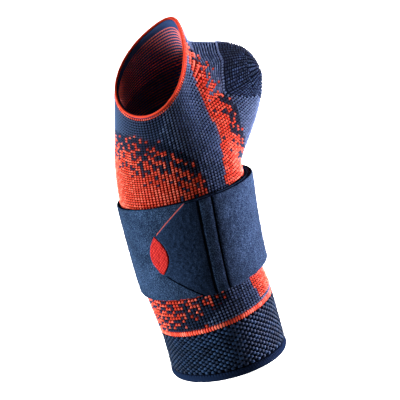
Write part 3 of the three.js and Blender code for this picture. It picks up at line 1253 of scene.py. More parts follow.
@dataclass
class Sleeve:
    """The knitted tube: its wall, its stitches and its rolled edges."""

    tube: Tube = field(default_factory=Tube)
    courses: Courses = field(default_factory=Courses)
    pattern: Pattern = field(default_factory=Pattern)
    # The wall's mesh, its depth under the stitches, and how its columns crowd on the thumb side.
    wall_columns: int = 264
    wall_rows: int = 200
    inner_rows: int = 90
    ground_inset: float = 0.5
    crowding: float = 0.45
    # Where the wall sinks: past the thumb's way out in millimetres, and across the pocket's ridge as
    # shares; and the part of its depth that it keeps in the pocket.
    exit_blend: tuple[float, float] = (0.6, 2.0)
    pocket_blend: tuple[float, float] = (0.9, 1.1)
    pocket_sink: float = 0.3
    # Sides of the cut for the thumb's way out, and how far stitches keep from it.
    exit_sides: int = 72
    exit_clear: float = 0.8
    # Heights of the plain knit: it stops under the strap, at the hand edge and over the stripe.
    under_strap: tuple[float, float] = (-14.0, 26.0)
    hand_top: float = 91.2
    stripe_gap: float = 0.3
    # Navy stitches: the share of orange that makes them deep, and where they turn from dark to paler:
    # painted shade on the side away from the thumb and painted light towards it.
    deep_share: float = 0.1
    lit_side: tuple[float, float] = (0.38, 0.52)
    painted_shade_share: float = 0.6
    stripe_height: float = -36.7
    stripe_tall: float = 2.5
    stripe_bars: int = 132
    cuff_columns: int = 54
    cuff_course: float = 1.27
    cuff_span: tuple[float, float] = (-61.2, -39.0)
    # The pocket's own knit: rays from its crown, shares of the way to its ridge, flat stitches, and the
    # heights over which painted shade darkens it towards its top.
    crown_height: float = 66.0
    pocket_rays: int = 128
    pocket_shares: tuple[float, float, int] = (0.02, 1.0, 140)
    pocket_course: float = 1.75
    pocket_wale: float = 1.75
    pocket_least_wales: int = 8
    pocket_lift: float = -0.13
    pocket_flat: float = 0.5
    pocket_painted_shade: tuple[float, float] = (90.0, 58.0)
    # The chain on the ridge and the fan of rays across it, inside the ridge and outside.
    ridge_span: tuple[float, float] = (58.0, 176.0)
    ridge_pitch: float = 1.5
    ridge_wide: float = 2.0
    ridge_lift: float = 0.45
    fan_rays: int = 240
    fan_inside: tuple[float, float, int] = (0.05, 0.85, 9)
    fan_outside: tuple[float, float, int] = (0.9, 2.1, 61)
    # Ribs beside the ridge; the taper is two angles and the spacing's share at the second.
    ribs: int = 9
    rib_taper: tuple[float, float, float] = (110.0, 176.0, 0.7)
    rib_pitch: float = 1.65
    rib_wide: float = 1.75
    rib_top: float = 0.985
    # Beads: half width and half length as shares of the cell, half height and depth in millimetres.
    rib_bead: tuple[float, float, float, float] = (0.27, 0.58, 0.5, 0.35)
    stripe_bead: tuple[float, float, float, float] = (0.42, 0.5, 0.55, 0.3)
    cuff_bead: tuple[float, float, float, float] = (0.36, 0.31, 0.45, 0.3)
    edge_bead: tuple[float, float, float, float] = (0.28, 0.5, 0.4, 0.3)
    # Floats inside: those in cells stretched past the slack are left off, and painted shade darkens them
    # between two heights going down.
    float_columns: int = 100
    float_course: float = 1.2
    float_shade_heights: tuple[float, float] = (81.0, 68.0)
    float_span: tuple[float, float] = (62.0, 90.1)
    float_slack: float = 5.0
    # Rolled edges: half sizes of their ovals, and the grooves between turns of yarn as shares.
    edge_ribs: int = 168
    edge_steps: int = 7
    edge_sides: int = 16
    edge_overlap: float = 0.35
    hand_half: tuple[float, float] = (0.66, 0.72)
    hand_groove: float = 0.3
    hem_half: tuple[float, float] = (1.5, 2.0)
    hem_groove: float = 0.12
    # Stitches that hold the hand edge: their share of the length, a step down it, and their height.
    edge_along: float = 0.9985
    edge_step: float = 0.006
    edge_tall: float = 0.8
    # The thumb's edge: how near points of its solid merge, and how many times it is smoothed.
    thumb_merge: float = 0.01
    thumb_levels: int = 2

    def build(self) -> Piece:
        """Builds the sleeve's pieces.

        Returns:
            The wall.
        """
        navy = [finish.material() for finish in NAVY_YARNS]
        orange = [finish.material() for finish in ORANGE_YARNS]
        cuff = [finish.material() for finish in CUFF_YARNS]
        wall = self.wall()
        on_wall = [
            *self.plain_knit(navy, orange),
            self.pocket_knit(),
            *self.ridge(navy, orange),
            self.stripe(orange),
            self.cuff(cuff),
            self.floats(),
            *self.edges(orange),
        ]
        return wall

    def crowded(self, share: Array) -> Array:
        """Crowds steps round the sleeve together on the thumb side."""
        away = self.tube.pocket.turn_degrees / 360 + 0.5
        return share + self.crowding * np.sin(2 * math.pi * (share - away)) / (2 * math.pi)

    def wall(self) -> Piece:
        """The wall under the stitches, with the thumb's way out cut through it."""
        turn = self.crowded(np.arange(self.wall_columns) / self.wall_columns)[:, None]
        outer = np.linspace(0.0, 1.0, self.wall_rows)[None, :]
        inner = np.linspace(1.0, 0.0, self.inner_rows)[None, :]
        # The wall is full at the thumb's way out, so that it meets the rolled edge there, and nearly so
        # in the pocket, whose stitches are flat.
        off_exit = self.tube.exit.off_axis(self.tube.face(turn, outer), self.tube.pocket)
        sunk = smoothstep(off_exit, *(self.tube.exit.radius + gap for gap in self.exit_blend))
        off_crown = smoothstep(self.tube.over_pocket(turn, outer), *self.pocket_blend)
        sunk = (sunk * (self.pocket_sink + (1 - self.pocket_sink) * off_crown))[..., None]
        full, sunken = (self.tube.face(turn, outer, inset) for inset in (0.0, self.ground_inset))
        lining = self.tube.face(turn, inner, KNIT_WALL)
        points = np.concatenate([full + sunk * (sunken - full), lining], axis=1)
        columns, rows = points.shape[:2]
        faces = grid_faces(columns, rows, True, True)
        middle = np.repeat(turn[:, 0] + 0.5 / self.wall_columns, rows)
        row = np.tile(np.arange(rows), columns)
        height = np.append(self.tube.section(outer[0])[:, 2], np.zeros(self.inner_rows))[row]
        course = np.round(height / self.courses.course).astype(int)
        off_pocket = self.tube.over_pocket(middle, self.tube.along_at(height)) > 1.0
        banded = np.abs(height - self.stripe_height) < self.stripe_tall / 2
        orange = self.pattern.orange(self.courses.wale_at(middle, course), course, middle, height)
        # The outer grounds are near black: painted shade in the gaps between the stitches.
        grounds = (NAVY_GROUND_SHADE, ORANGE_GROUND_SHADE, INNER_GROUND)
        finishes = [finish.material() for finish in grounds]
        on_orange = (orange & off_pocket & (height > self.stripe_height)) | banded
        ground = np.where(on_orange, grounds.index(ORANGE_GROUND_SHADE), grounds.index(NAVY_GROUND_SHADE))
        ground = np.where(row >= self.wall_rows - 1, grounds.index(INNER_GROUND), ground)
        piece = mesh_piece("sleeve_wall", points, faces, finishes, ground, "sleeve")
        self.cut_exit(piece)
        return piece

    def cut_exit(self, wall: Piece) -> None:
        """Cuts the thumb's way out through the wall.

        Args:
            wall: The wall.
        """
        way = self.tube.exit
        middle = way.seat(self.tube.pocket) + way.out * way.depth / 2
        bpy.ops.object.select_all(action="DESELECT")
        bpy.ops.mesh.primitive_cylinder_add(
            vertices=self.exit_sides,
            radius=way.radius * MM,
            depth=way.depth * MM,
            location=tuple(middle * MM),
            rotation=(0.0, math.radians(90 - way.rise_degrees), math.radians(way.turn_degrees)),
        )
        cutter = bpy.context.active_object
        bpy.ops.object.select_all(action="DESELECT")
        bpy.context.view_layer.objects.active = wall
        wall.select_set(True)
        cut = wall.modifiers.new("exit", "BOOLEAN")
        cut.operation, cut.solver, cut.object = "DIFFERENCE", "EXACT", cutter
        bpy.ops.object.modifier_apply(modifier=cut.name)
        bpy.data.objects.remove(cutter, do_unlink=True)

    def clear_of_exit(self, points: Array) -> Array:
        """Whether places are clear of the thumb's way out and its rolled edge."""
        way = self.tube.exit
        return way.off_axis(points, self.tube.pocket) > way.radius + self.exit_clear

    def cells(self, turn: Array, height: Array, wide: float, tall: float) -> Cells:
        """Cells on the outer face.

        Args:
            turn: Turns round the sleeve.
            height: Heights on the centre line.
            wide: Width of a cell in turns.
            tall: Height of a cell in millimetres of centre line.

        Returns:
            The cells.
        """
        along = self.tube.along_at(height)
        low, high = (self.tube.along_at(height + part * tall) for part in (-0.5, 0.5))
        across = self.tube.face(turn + wide / 2, along) - self.tube.face(turn - wide / 2, along)
        up = self.tube.face(turn, high) - self.tube.face(turn, low)
        return Cells.of(self.tube.face(turn, along), across, up)

    def plain_knit(self, navy: list[Material], orange: list[Material]) -> list[Piece]:
        """The plain knit above and below the strap.

        Args:
            navy: Tones of navy yarn.
            orange: Tones of orange yarn.

        Returns:
            The pieces, by part and colour.
        """
        spans = {
            "hand": (self.under_strap[1], self.hand_top),
            "wrist": (self.stripe_height + self.stripe_tall / 2 + self.stripe_gap, self.under_strap[0]),
        }
        made = []
        for part, span in spans.items():
            knit = self.courses.stitches(*span)
            over = self.tube.over_pocket(knit.turn, knit.along)
            keep = (over > 1.0) & self.clear_of_exit(knit.cells.centre)
            ribbed = over < self.rib_reach(self.tube.pocket_angle(knit.turn, knit.along))
            is_orange = self.pattern.orange(knit.wale, knit.course, knit.turn, knit.height)
            drawn = toned(len(keep), knit.wale + Draw.PLAIN_KNIT, knit.course + Draw.PLAIN_KNIT)
            # Navy stitches are deepest among orange ones. Away from the thumb they are dark, as painted
            # shade, and towards it paler, as painted light, with random tone mixed in.
            deepest = self.pattern.share(knit.turn, knit.height) > self.deep_share
            lit_side = smoothstep(np.mod(knit.turn - BACK, 1.0), *self.lit_side)
            dark = lit_side + self.painted_shade_share * drawn / TONES < self.painted_shade_share
            navy_tones = np.where(dark, 1, 1 + np.maximum(drawn, 1))
            navy_tones = np.where(deepest, 0, navy_tones)
            keep = keep & ~ribbed
            kinds = [
                (Slot.NAVY_KNIT, "navy", keep & ~is_orange, navy, navy_tones),
                (Slot.ORANGE_KNIT, "orange", keep & is_orange, orange, drawn),
            ]
            for slot, colour, pick, finishes, tones in kinds:
                cells, name = knit.cells.where(pick), f"{part}_knit_{colour}"
                made.append(strand_piece(name, cells, loop_stitch(), finishes, tones[pick]))
        return made

    @cached_property
    def fan(self) -> Fan:
        """The rays across the pocket's ridge."""
        degrees = np.linspace(*self.ridge_span, self.fan_rays)
        shares = np.concatenate([np.linspace(*span) for span in (self.fan_inside, self.fan_outside)])
        turn, along = self.rays(shares, np.mod(np.radians(degrees) + math.pi, 2 * math.pi) - math.pi)
        points = self.tube.face(turn, along)
        steps = np.linalg.norm(np.diff(points, axis=1), axis=-1)
        run = np.concatenate([np.zeros((len(degrees), 1)), np.cumsum(steps, axis=1)], axis=1)
        at_ridge = np.array([np.interp(1.0, shares, row) for row in run])
        return Fan(degrees, shares, turn, along, points, run - at_ridge[:, None])

    def rib_run(self, rib: float) -> Array:
        """How far a rib runs from the ridge, at the fan's angles; ribs draw together as they go down."""
        start, end, last = self.rib_taper
        return rib * self.rib_wide * np.interp(self.fan.degrees, (start, end), (1.0, last))

    def rib_reach(self, angle: Array) -> Array:
        """How far out of the ridge the ribs reach, as a share, at angles round the pocket's egg."""
        shares = np.broadcast_to(self.fan.shares, self.fan.run.shape)
        reach = self.fan.at(shares, self.rib_run(self.ribs + 0.5))
        return np.interp(np.mod(np.degrees(angle), 360.0), self.fan.degrees, reach, 1.0, 1.0)

    def rays(self, shares: Array, angle: Array) -> tuple[Array, Array]:
        """Places along rays from the pocket's crown over its ridge.

        Args:
            shares: Shares of the way to the ridge, rising.
            angle: The rays' angles round the pocket's egg.

        Returns:
            Turns and shares of the length, by ray and share.
        """
        ways = np.stack([np.cos(angle), np.sin(angle)], -1)
        reach = self.tube.ridge_share(angle)[:, None]
        turn = np.full(len(angle), self.tube.pocket.turn_degrees / 360)
        along = np.full(len(angle), float(self.tube.along_at(np.array(self.crown_height))))
        places = []
        for share in shares:
            turn, along = self.tube.locate(self.tube.spread, ways * reach * share, turn, along)
            places.append((turn, along))
        turns, alongs = np.moveaxis(np.array(places), 0, -1)
        return turns, alongs

    def pocket_knit(self) -> Piece:
        """The pocket's own wales, from its ridge to its crown, with painted shade that makes them darker
        towards the top.

        Returns:
            The piece.
        """
        rays = self.pocket_rays
        shares = np.linspace(*self.pocket_shares)
        angle = np.mod(2 * math.pi * np.arange(rays) / rays + math.pi, 2 * math.pi) - math.pi
        points = self.tube.face(*self.rays(shares, angle))[:, ::-1]
        steps = np.linalg.norm(np.diff(points, axis=1), axis=-1)
        run = np.concatenate([np.zeros((rays, 1)), np.cumsum(steps, axis=1)], axis=1)
        rows = []
        for ray in range(rays):
            stations = np.arange(self.pocket_course / 2, run[ray, -1], self.pocket_course)
            for k in np.rint(np.interp(stations, run[ray], np.arange(len(shares)))).astype(int):
                gap = np.linalg.norm(points[(ray + 1) % rays, k] - points[ray, k])
                stride = 2 ** max(0, round(math.log2(self.pocket_wale / max(gap, TINY))))
                if ray % stride or stride > rays // self.pocket_least_wales:
                    continue
                side = (points[(ray + stride) % rays, k] - points[(ray - stride) % rays, k]) / 2
                ahead, behind = min(k + WAY_REACH, len(shares) - 1), max(k - WAY_REACH, 0)
                way = unit(points[ray, ahead] - points[ray, behind]) * self.pocket_course
                rows.append((points[ray, k], -side, way))
        cells = Cells.of(*np.moveaxis(np.array(rows), 1, 0))
        cells = cells.where(self.clear_of_exit(cells.centre))
        # Painted shade: stitches high on the pocket take its darker tones, those lower down its paler ones.
        low = smoothstep(-cells.centre[:, 2], *(-z for z in self.pocket_painted_shade))
        mixed = 0.5 * low + 0.5 * chance(np.arange(len(low)), Draw.POCKET)
        finishes = [finish.material() for finish in POCKET_YARNS]
        tones = (mixed * len(finishes)).astype(int)
        stitch = loop_stitch(self.pocket_lift, self.pocket_flat)
        return strand_piece("pocket_knit_navy", cells, stitch, finishes, tones)

    def rib_stitches(self, rib: int, pitch: float, wide: float) -> Stitches:
        """Stitches along the pocket's ridge or along a rib beside it.

        Args:
            rib: The rib's number, or 0 for the ridge.
            pitch: Length of a cell.
            wide: Width of a cell.

        Returns:
            The stitches, whose tops point up the rib.
        """
        fan, far = self.fan, self.rib_run(rib)
        edge, inside = (
            np.stack([fan.at(fan.points[..., k], far + off) for k in range(3)], -1) for off in (0.0, -0.5)
        )
        run = np.append(0.0, np.cumsum(np.linalg.norm(np.diff(edge, axis=0), axis=-1)))
        stations = np.arange(pitch / 2, run[-1], pitch)
        index = np.rint(np.interp(stations, run, np.arange(len(run)))).astype(int)
        behind, ahead = np.maximum(index - WAY_REACH, 0), np.minimum(index + WAY_REACH, len(run) - 1)
        way = unit(edge[behind] - edge[ahead])
        cells = Cells.of(edge[index], unit(inside[index] - edge[index]) * wide, way * pitch)
        out = np.sign(np.sum(cells.out * self.tube.pocket.out, axis=-1, keepdims=True))
        cells = Cells(cells.centre, cells.across * out, cells.along, cells.out * out)
        turn, along = (fan.at(values, far)[index] for values in (fan.turn, fan.along))
        height = self.tube.section(along)[..., 2]
        wale, course = np.full(len(index), Draw.RIB + rib), np.arange(len(index))
        return Stitches(wale, course, turn, height, along, cells)

    def ridge(self, navy: list[Material], orange: list[Material]) -> list[Piece]:
        """The raised chain round the front of the pocket, and the long ribs of knit that run beside it.

        Args:
            navy: Tones of navy yarn.
            orange: Tones of orange yarn.

        Returns:
            The pieces.
        """
        chain = self.rib_stitches(0, self.ridge_pitch, self.ridge_wide)
        # The chain takes the palest navy: a painted highlight along the raised ridge.
        tones = np.full(len(chain.wale), len(navy) - 1)
        stitch = loop_stitch(self.ridge_lift)
        made = [strand_piece("pocket_ridge", chain.cells, stitch, navy, tones)]
        rows = [self.rib_stitches(k, self.rib_pitch, self.rib_wide) for k in range(1, self.ribs + 1)]
        wale, course, turn, height, along = (
            np.concatenate([getattr(row, part) for row in rows])
            for part in ("wale", "course", "turn", "height", "along")
        )
        cells = Cells.joined([row.cells for row in rows])
        keep = (along < self.rib_top) & self.clear_of_exit(cells.centre)
        is_orange = self.pattern.orange(wale, course, turn, height)
        drawn = toned(len(wale), wale, course)
        # The deepest navy is kept for stitches among orange ones.
        tones = np.maximum(drawn, 1)
        kinds = [
            (Slot.NAVY_KNIT, "navy", keep & ~is_orange, bead(*self.rib_bead), navy, tones),
            (Slot.ORANGE_KNIT, "orange", keep & is_orange, loop_stitch(), orange, drawn),
        ]
        for slot, colour, pick, strand, finishes, tones in kinds:
            name = f"pocket_ribs_{colour}"
            made.append(strand_piece(name, cells.where(pick), strand, finishes, tones[pick]))
        return made

    def stripe(self, orange: list[Material]) -> Piece:
        """The ribbed stripe over the cuff."""
        number = np.arange(self.stripe_bars)
        turn = (number + 0.5) / self.stripe_bars
        height = np.full(len(number), self.stripe_height)
        cells = self.cells(turn, height, 1 / self.stripe_bars, self.stripe_tall)
        tones = toned(len(number), number, Draw.STRIPE)
        return strand_piece("cuff_stripe", cells, bead(*self.stripe_bead), orange, tones)

    def cuff(self, navy: list[Material]) -> Piece:
        """The cuff's raised stitches, each between two of the course above."""
        low, high = self.cuff_span
        courses = np.arange(int((high - low) / self.cuff_course) + 1)
        grid = np.meshgrid(np.arange(self.cuff_columns), courses, indexing="ij")
        column, course = (a.ravel() for a in grid)
        turn = (column + 0.5 * (course % 2) + 0.25) / self.cuff_columns
        height = high - course * self.cuff_course
        cells = self.cells(turn, height, 1 / self.cuff_columns, 2 * self.cuff_course)
        tones = toned(len(column), column, course + Draw.CUFF)
        return strand_piece("cuff_knit_navy", cells, bead(*self.cuff_bead), navy, tones)

    def floats(self) -> Piece:
        """Floats of orange yarn on the inner face, in courses below a plain band at the hand edge."""
        columns = self.float_columns
        heights = np.arange(*self.float_span, self.float_course)
        grid = np.meshgrid(np.arange(columns), np.arange(len(heights)), indexing="ij")
        column, course = (a.ravel() for a in grid)
        turn, height = (column + 0.5) / columns, heights[course]
        along = self.tube.along_at(height)
        low, high = (self.tube.along_at(height + part * self.float_course) for part in (-0.5, 0.5))
        half = 0.5 / columns
        left, right = (self.tube.face(turn + part * half, along, KNIT_WALL) for part in (-1, 1))
        up = self.tube.face(turn, high, KNIT_WALL) - self.tube.face(turn, low, KNIT_WALL)
        # The way out of an inner cell is towards the hollow.
        cells = Cells.of(self.tube.face(turn, along, KNIT_WALL), left - right, up)
        wide, tall = np.linalg.norm(cells.across, axis=-1), np.linalg.norm(cells.along, axis=-1)
        slack = np.maximum(wide / np.median(wide), tall / self.float_course) < self.float_slack
        keep = slack & self.clear_of_exit(cells.centre)
        cells = cells.where(keep)
        strand = Strand.through(FLOAT, sides=4, level=True)
        # Painted shade: floats near the hand edge take the lit tone, and deeper ones the darker tones.
        deep = smoothstep(-height[keep], *(-z for z in self.float_shade_heights))
        finishes = [finish.material() for finish in FLOAT_SHADE_YARNS]
        tones = np.minimum(deep * TONES, TONES - 1).astype(int)
        return strand_piece("inner_floats", cells, strand, finishes, tones)

    def end_frame(self, along: float, rise: float, turn: Array) -> tuple[Array, Array, Array]:
        """Frames of a rolled edge on one end of the tube.

        Args:
            along: The end's share of the length.
            rise: How far the edge's middle is off the end's plane.
            turn: Turns round the sleeve.

        Returns:
            Centres, ways out and the end plane's way up.
        """
        row = self.tube.section(np.array(along))
        side = np.array([1.0, 0.0, math.tan(math.radians(row[3]))])
        back = np.array([0.0, 1.0, math.tan(math.radians(row[4]))])
        up = unit(np.cross(side, back))
        step = self.tube.step
        way = self.tube.face(turn + step, along) - self.tube.face(turn - step, along)
        centre = self.tube.face(turn, along, KNIT_WALL / 2) + up * rise
        return centre, unit(np.cross(way, up)), np.broadcast_to(up, centre.shape)

    def rolled(
        self,
        node: str,
        frames: tuple[Array, Array, Array],
        half: tuple[float, float],
        depth: float,
        finish: YarnFinish,
    ) -> Piece:
        """A rolled edge whose yarn is whipped round it.

        Args:
            node: The node of the solid that it stands for.
            frames: Centres, ways out and ways up round the edge.
            half: Half width and half height of its oval.
            depth: Depth of the grooves between turns of yarn, as a share.
            finish: The yarn.

        Returns:
            The piece.
        """
        centre, out, up = (a[:, None, :] for a in frames)
        sides = self.edge_sides
        angle = 2 * math.pi * np.arange(sides)[None, :, None] / sides
        place = np.arange(len(centre))[:, None, None] / len(centre)
        # The grooves slant, because the yarn moves on by two turns of it on the way round the roll.
        wave = np.cos(2 * math.pi * self.edge_ribs * place + 2 * angle)
        swell = 1.0 - depth * (0.5 - 0.5 * wave) ** 2
        points = centre + out * half[0] * np.cos(angle) * swell + up * half[1] * np.sin(angle) * swell
        faces = grid_faces(len(centre), sides, True, True)
        return mesh_piece(f"{node}_roll", points, faces, [finish.material()], node=node)

    def edges(self, orange: list[Material]) -> list[Piece]:
        """The three rolled edges and the stitches that hold the hand edge.

        Args:
            orange: Tones of orange yarn.

        Returns:
            The pieces.
        """
        lap, hand_half, hem_half = self.edge_overlap, self.hand_half, self.hem_half
        steps = self.edge_ribs * self.edge_steps
        turn = self.crowded(np.arange(steps) / steps)
        # The rolls reach over the fit gap, so that no light shows between them and the knit.
        frames = self.end_frame(1.0, hand_half[0] + FIT_GAP - lap, turn)
        hand = self.rolled("hand_edge", frames, hand_half, self.hand_groove, RIM_YARN)
        frames = self.end_frame(0.0, lap / 2 - hem_half[1] - FIT_GAP, turn)
        half = (hem_half[0], hem_half[1] + lap / 2)
        hem = self.rolled("forearm_edge", frames, half, self.hem_groove, HEM_YARN)
        return [hand, hem, self.edge_stitches(orange), self.thumb_edge()]

    def edge_stitches(self, orange: list[Material]) -> Piece:
        """The stitches that hold the hand edge."""
        number = np.arange(self.edge_ribs)
        place = self.crowded((number + 0.5) / self.edge_ribs)
        wide = np.gradient(np.concatenate([place[-1:] - 1, place, place[:1] + 1]))[1:-1]
        along = np.full(self.edge_ribs, self.edge_along)
        across = self.tube.face(place + wide / 2, along) - self.tube.face(place - wide / 2, along)
        centre = self.tube.face(place, along)
        up = unit(centre - self.tube.face(place, along - self.edge_step)) * self.edge_tall
        cells = Cells.of(centre, across, up)
        tones = toned(self.edge_ribs, number, Draw.HAND_EDGE)
        return strand_piece(
            "hand_edge_stitches", cells, bead(*self.edge_bead), orange, tones
        )

    def thumb_edge(self) -> Piece:
        """The rolled edge in the thumb's way out, smoothed from its solid."""
        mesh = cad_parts["thumb_edge"].data.copy()
        piece = bpy.data.objects.new("thumb_edge_roll", mesh)
        bpy.context.collection.objects.link(piece)
        bpy.ops.object.select_all(action="DESELECT")
        bpy.context.view_layer.objects.active = piece
        piece.select_set(True)
        bpy.ops.object.mode_set(mode="EDIT")
        bpy.ops.mesh.select_all(action="SELECT")
        bpy.ops.mesh.remove_doubles(threshold=self.thumb_merge * MM)
        bpy.ops.mesh.tris_convert_to_quads()
        bpy.ops.object.mode_set(mode="OBJECT")
        smooth = piece.modifiers.new("round", "SUBSURF")
        smooth.levels = smooth.render_levels = self.thumb_levels
        bpy.ops.object.modifier_apply(modifier=smooth.name)
        piece.data.materials.clear()
        piece.data.materials.append(HEM_YARN.material())
        bpy.ops.object.shade_smooth()
        return declare(piece, "thumb_edge")


def edged(length: float, step: float, radius: float) -> Array:
    """Places along a length, close together where its two ends are rounded.

    Args:
        length: The length in millimetres.
        step: The plain step in millimetres.
        radius: How far the rounding reaches from each end.

    Returns:
        Places from 0 to the length.
    """
    near = radius * np.array(ROUNDING)
    inner = np.linspace(radius, length - radius, max(2, round((length - 2 * radius) / step) + 1))
    return np.concatenate([near, inner, length - near[::-1]])


@dataclass(frozen=True)
class Layer:
    """Sizes of a slab of cloth: its length round the sleeve, its thickness and its mesh step."""

    long: float
    thick: float
    step: float


@dataclass
class Strap:
    """The wide wrap strap: its turn round the wrist, joining strip, closing flap and pull tab."""

    tube: Tube = field(default_factory=Tube)
    # Heights of its edges, how far the upper one rises in front, and the girth that it goes round.
    low: float = -17.5
    high: float = 29.0
    front_rise: float = 4.0
    girth: float = 190.0
    wrap: Layer = Layer(232.0, 2.1, 0.6)
    strip: Layer = Layer(4.7, 2.0, 0.45)
    flap: Layer = Layer(22.0, 1.8, 0.45)
    tab: Layer = Layer(9.8, 1.4, 0.3)
    seam: Layer = Layer(1.2, 0.7, 0.3)
    # Turns that the layers cover, and those in which the wrap comes down to the knit.
    wrap_span: tuple[float, float] = (0.811, 2.02)
    wrap_ease: tuple[float, float] = (1.06, 1.5)
    strip_span: tuple[float, float] = (0.7787, 0.8087)
    seam_spans: tuple[tuple[float, float], ...] = ((0.7735, 0.7800), (0.8075, 0.8120))
    seam_inset: float = 0.6
    seam_rise: float = 0.3
    # The flap in turns, from its seam over its shoulder to the middle of the tab at its tip.
    flap_root: float = 0.7745
    flap_shoulder: float = 0.745
    flap_tip: float = 0.661
    flap_gap: float = 0.0018
    # The tab: its height over the strap's middle line, and its half sizes in millimetres and turns.
    tab_rise: float = 1.3
    tab_half_height: float = 9.4
    tab_half_turn: float = 0.0235
    tab_least_turn: float = 0.0012
    # Rolls on the flap: place across it, height as a share of its thickness, and radius; then the shares
    # along the flap that they cover, the points that an end tapers over and the share it starts from.
    piping: tuple[float, float, float] = (1.0, 0.62, 0.26)
    # The fold is a near-black roll: a painted shadow along the flap's lower edge.
    fold_shadow: tuple[float, float, float] = (-0.97, 0.88, 0.38)
    roll_span: tuple[float, float, int] = (0.03, 0.76, 60)
    roll_taper: float = 3.0
    roll_least: float = 0.05
    # Nap: its depth, the sizes of its coarse and fine bumps, and the fine ones' share.
    nap: float = 0.13
    nap_sizes: tuple[float, float] = (1.1, 0.6)
    nap_fine: float = 0.6
    # The cut edge's width, and how much of a narrow slab its rounding may take.
    cut_edge: float = 0.22
    most_rounding: float = 0.4
    grain: Grain = Grain(SEED)

    @property
    def half(self) -> float:
        """Half the strap's width."""
        return (self.high - self.low) / 2

    @property
    def lower(self) -> float:
        """Height of the layer that lies on the knit."""
        return FIT_GAP

    @property
    def upper(self) -> float:
        """Height of the layer that lies on the strap's own start."""
        return FIT_GAP + self.wrap.thick + FIT_GAP

    def build(self) -> Piece:
        """Builds the strap's pieces.

        Returns:
            The wrap.
        """
        pile, flap_pile, edge, weave, coral = (
            finish.material() for finish in (STRAP_PILE, FLAP_PILE, STRAP_EDGE_AND_SHADE, TAB_WEAVE, PIPING_YARN)
        )
        cloth, flap_cloth, tab_cloth = Slot.STRAP_CLOTH, Slot.FLAP_CLOTH, Slot.TAB_CLOTH
        wrap = self.slab("strap_wrap_pile", self.wrap_place, self.wrap, [pile, edge], "strap_wrap")
        strip = self.slab(
            "strap_strip_pile", self.strip_place, self.strip, [pile, edge], "strap_strip"
        )
        flap = self.slab(
            "strap_flap_pile", self.flap_place, self.flap, [flap_pile, edge], "strap_flap"
        )
        tab = self.slab("strap_tab_weave", self.tab_place, self.tab, [weave, weave], "strap_tab")
        # The seams sunk between the strip and the flap and wrap are near black: real joins, coloured as
        # painted shade in the grooves.
        for name, span in zip(("flap", "wrap"), self.seam_spans):
            place = self.seam_place(span)
            self.slab(f"strap_seam_{name}", place, self.seam, [edge, edge])
        piping = self.roll("flap_piping", Slot.ORANGE_KNIT, *self.piping, coral)
        # The fold roll is painted shadow under the flap's lower edge.
        fold_shadow = self.roll("flap_fold_shadow", flap_cloth, *self.fold_shadow, edge)
        return wrap

    def point(self, turn: Array, rise: Array, height: Array) -> Array:
        """A place on the strap.

        Args:
            turn: Turns round the sleeve.
            rise: Heights from the strap's middle line.
            height: Heights over the knit.

        Returns:
            Points in millimetres.
        """
        front = ((1 + np.cos(2 * math.pi * (turn - FRONT))) / 2) ** 2
        middle = (self.low + self.high) / 2
        lifted = middle + rise + self.front_rise * front * np.maximum(0.0, rise / self.half)
        return self.tube.over(turn, self.tube.along_at(lifted), height)

    def wrap_place(self, s: Array, w: Array) -> tuple[Array, Array, Array]:
        """Turn, rise and base height on the wrap, from shares along and across it."""
        turn = self.wrap_span[0] + s * (self.wrap_span[1] - self.wrap_span[0])
        eased = smoothstep(turn, *self.wrap_ease)
        return turn, w * self.half, self.upper + eased * (self.lower - self.upper)

    def strip_place(self, s: Array, w: Array) -> tuple[Array, Array, Array]:
        """Turn, rise and base height on the joining strip."""
        turn = self.strip_span[0] + s * (self.strip_span[1] - self.strip_span[0])
        return turn, w * self.half, np.full_like(turn, self.upper)

    def seam_place(self, span: tuple[float, float]) -> Place:
        """Places on a sunk seam.

        Args:
            span: The turns that the seam covers.

        Returns:
            A function from shares along and across to turn, rise and base height.
        """

        def place(s: Array, w: Array) -> tuple[Array, Array, Array]:
            """Turn, rise and base height on the seam."""
            turn = span[0] + s * (span[1] - span[0])
            return turn, w * (self.half - self.seam_inset), np.full_like(turn, self.upper + self.seam_rise)

        return place

    def tab_half(self, w: Array) -> Array:
        """Half width of the lens-shaped tab, in turns."""
        return np.maximum(self.tab_least_turn, self.tab_half_turn * (1 - w * w))

    def flap_place(self, s: Array, w: Array) -> tuple[Array, Array, Array]:
        """Turn, rise and base height on the flap, from the tab to the seam."""
        end = self.flap_tip + self.tab_half(w) + self.flap_gap
        turn = end + s * (self.flap_root - end)
        shoulder = (self.flap_shoulder - self.flap_tip) / (self.flap_root - self.flap_tip)
        widening = np.minimum(1.0, s / shoulder)
        half = self.tab_half_height + widening * (self.half - self.tab_half_height)
        return turn, self.tab_rise * (1 - widening) + w * half, np.full_like(turn, self.upper)

    def tab_place(self, s: Array, w: Array) -> tuple[Array, Array, Array]:
        """Turn, rise and base height on the pull tab."""
        turn = self.flap_tip + self.tab_half(w) * (2 * s - 1)
        return turn, self.tab_rise + w * self.tab_half_height, np.full_like(turn, self.upper)

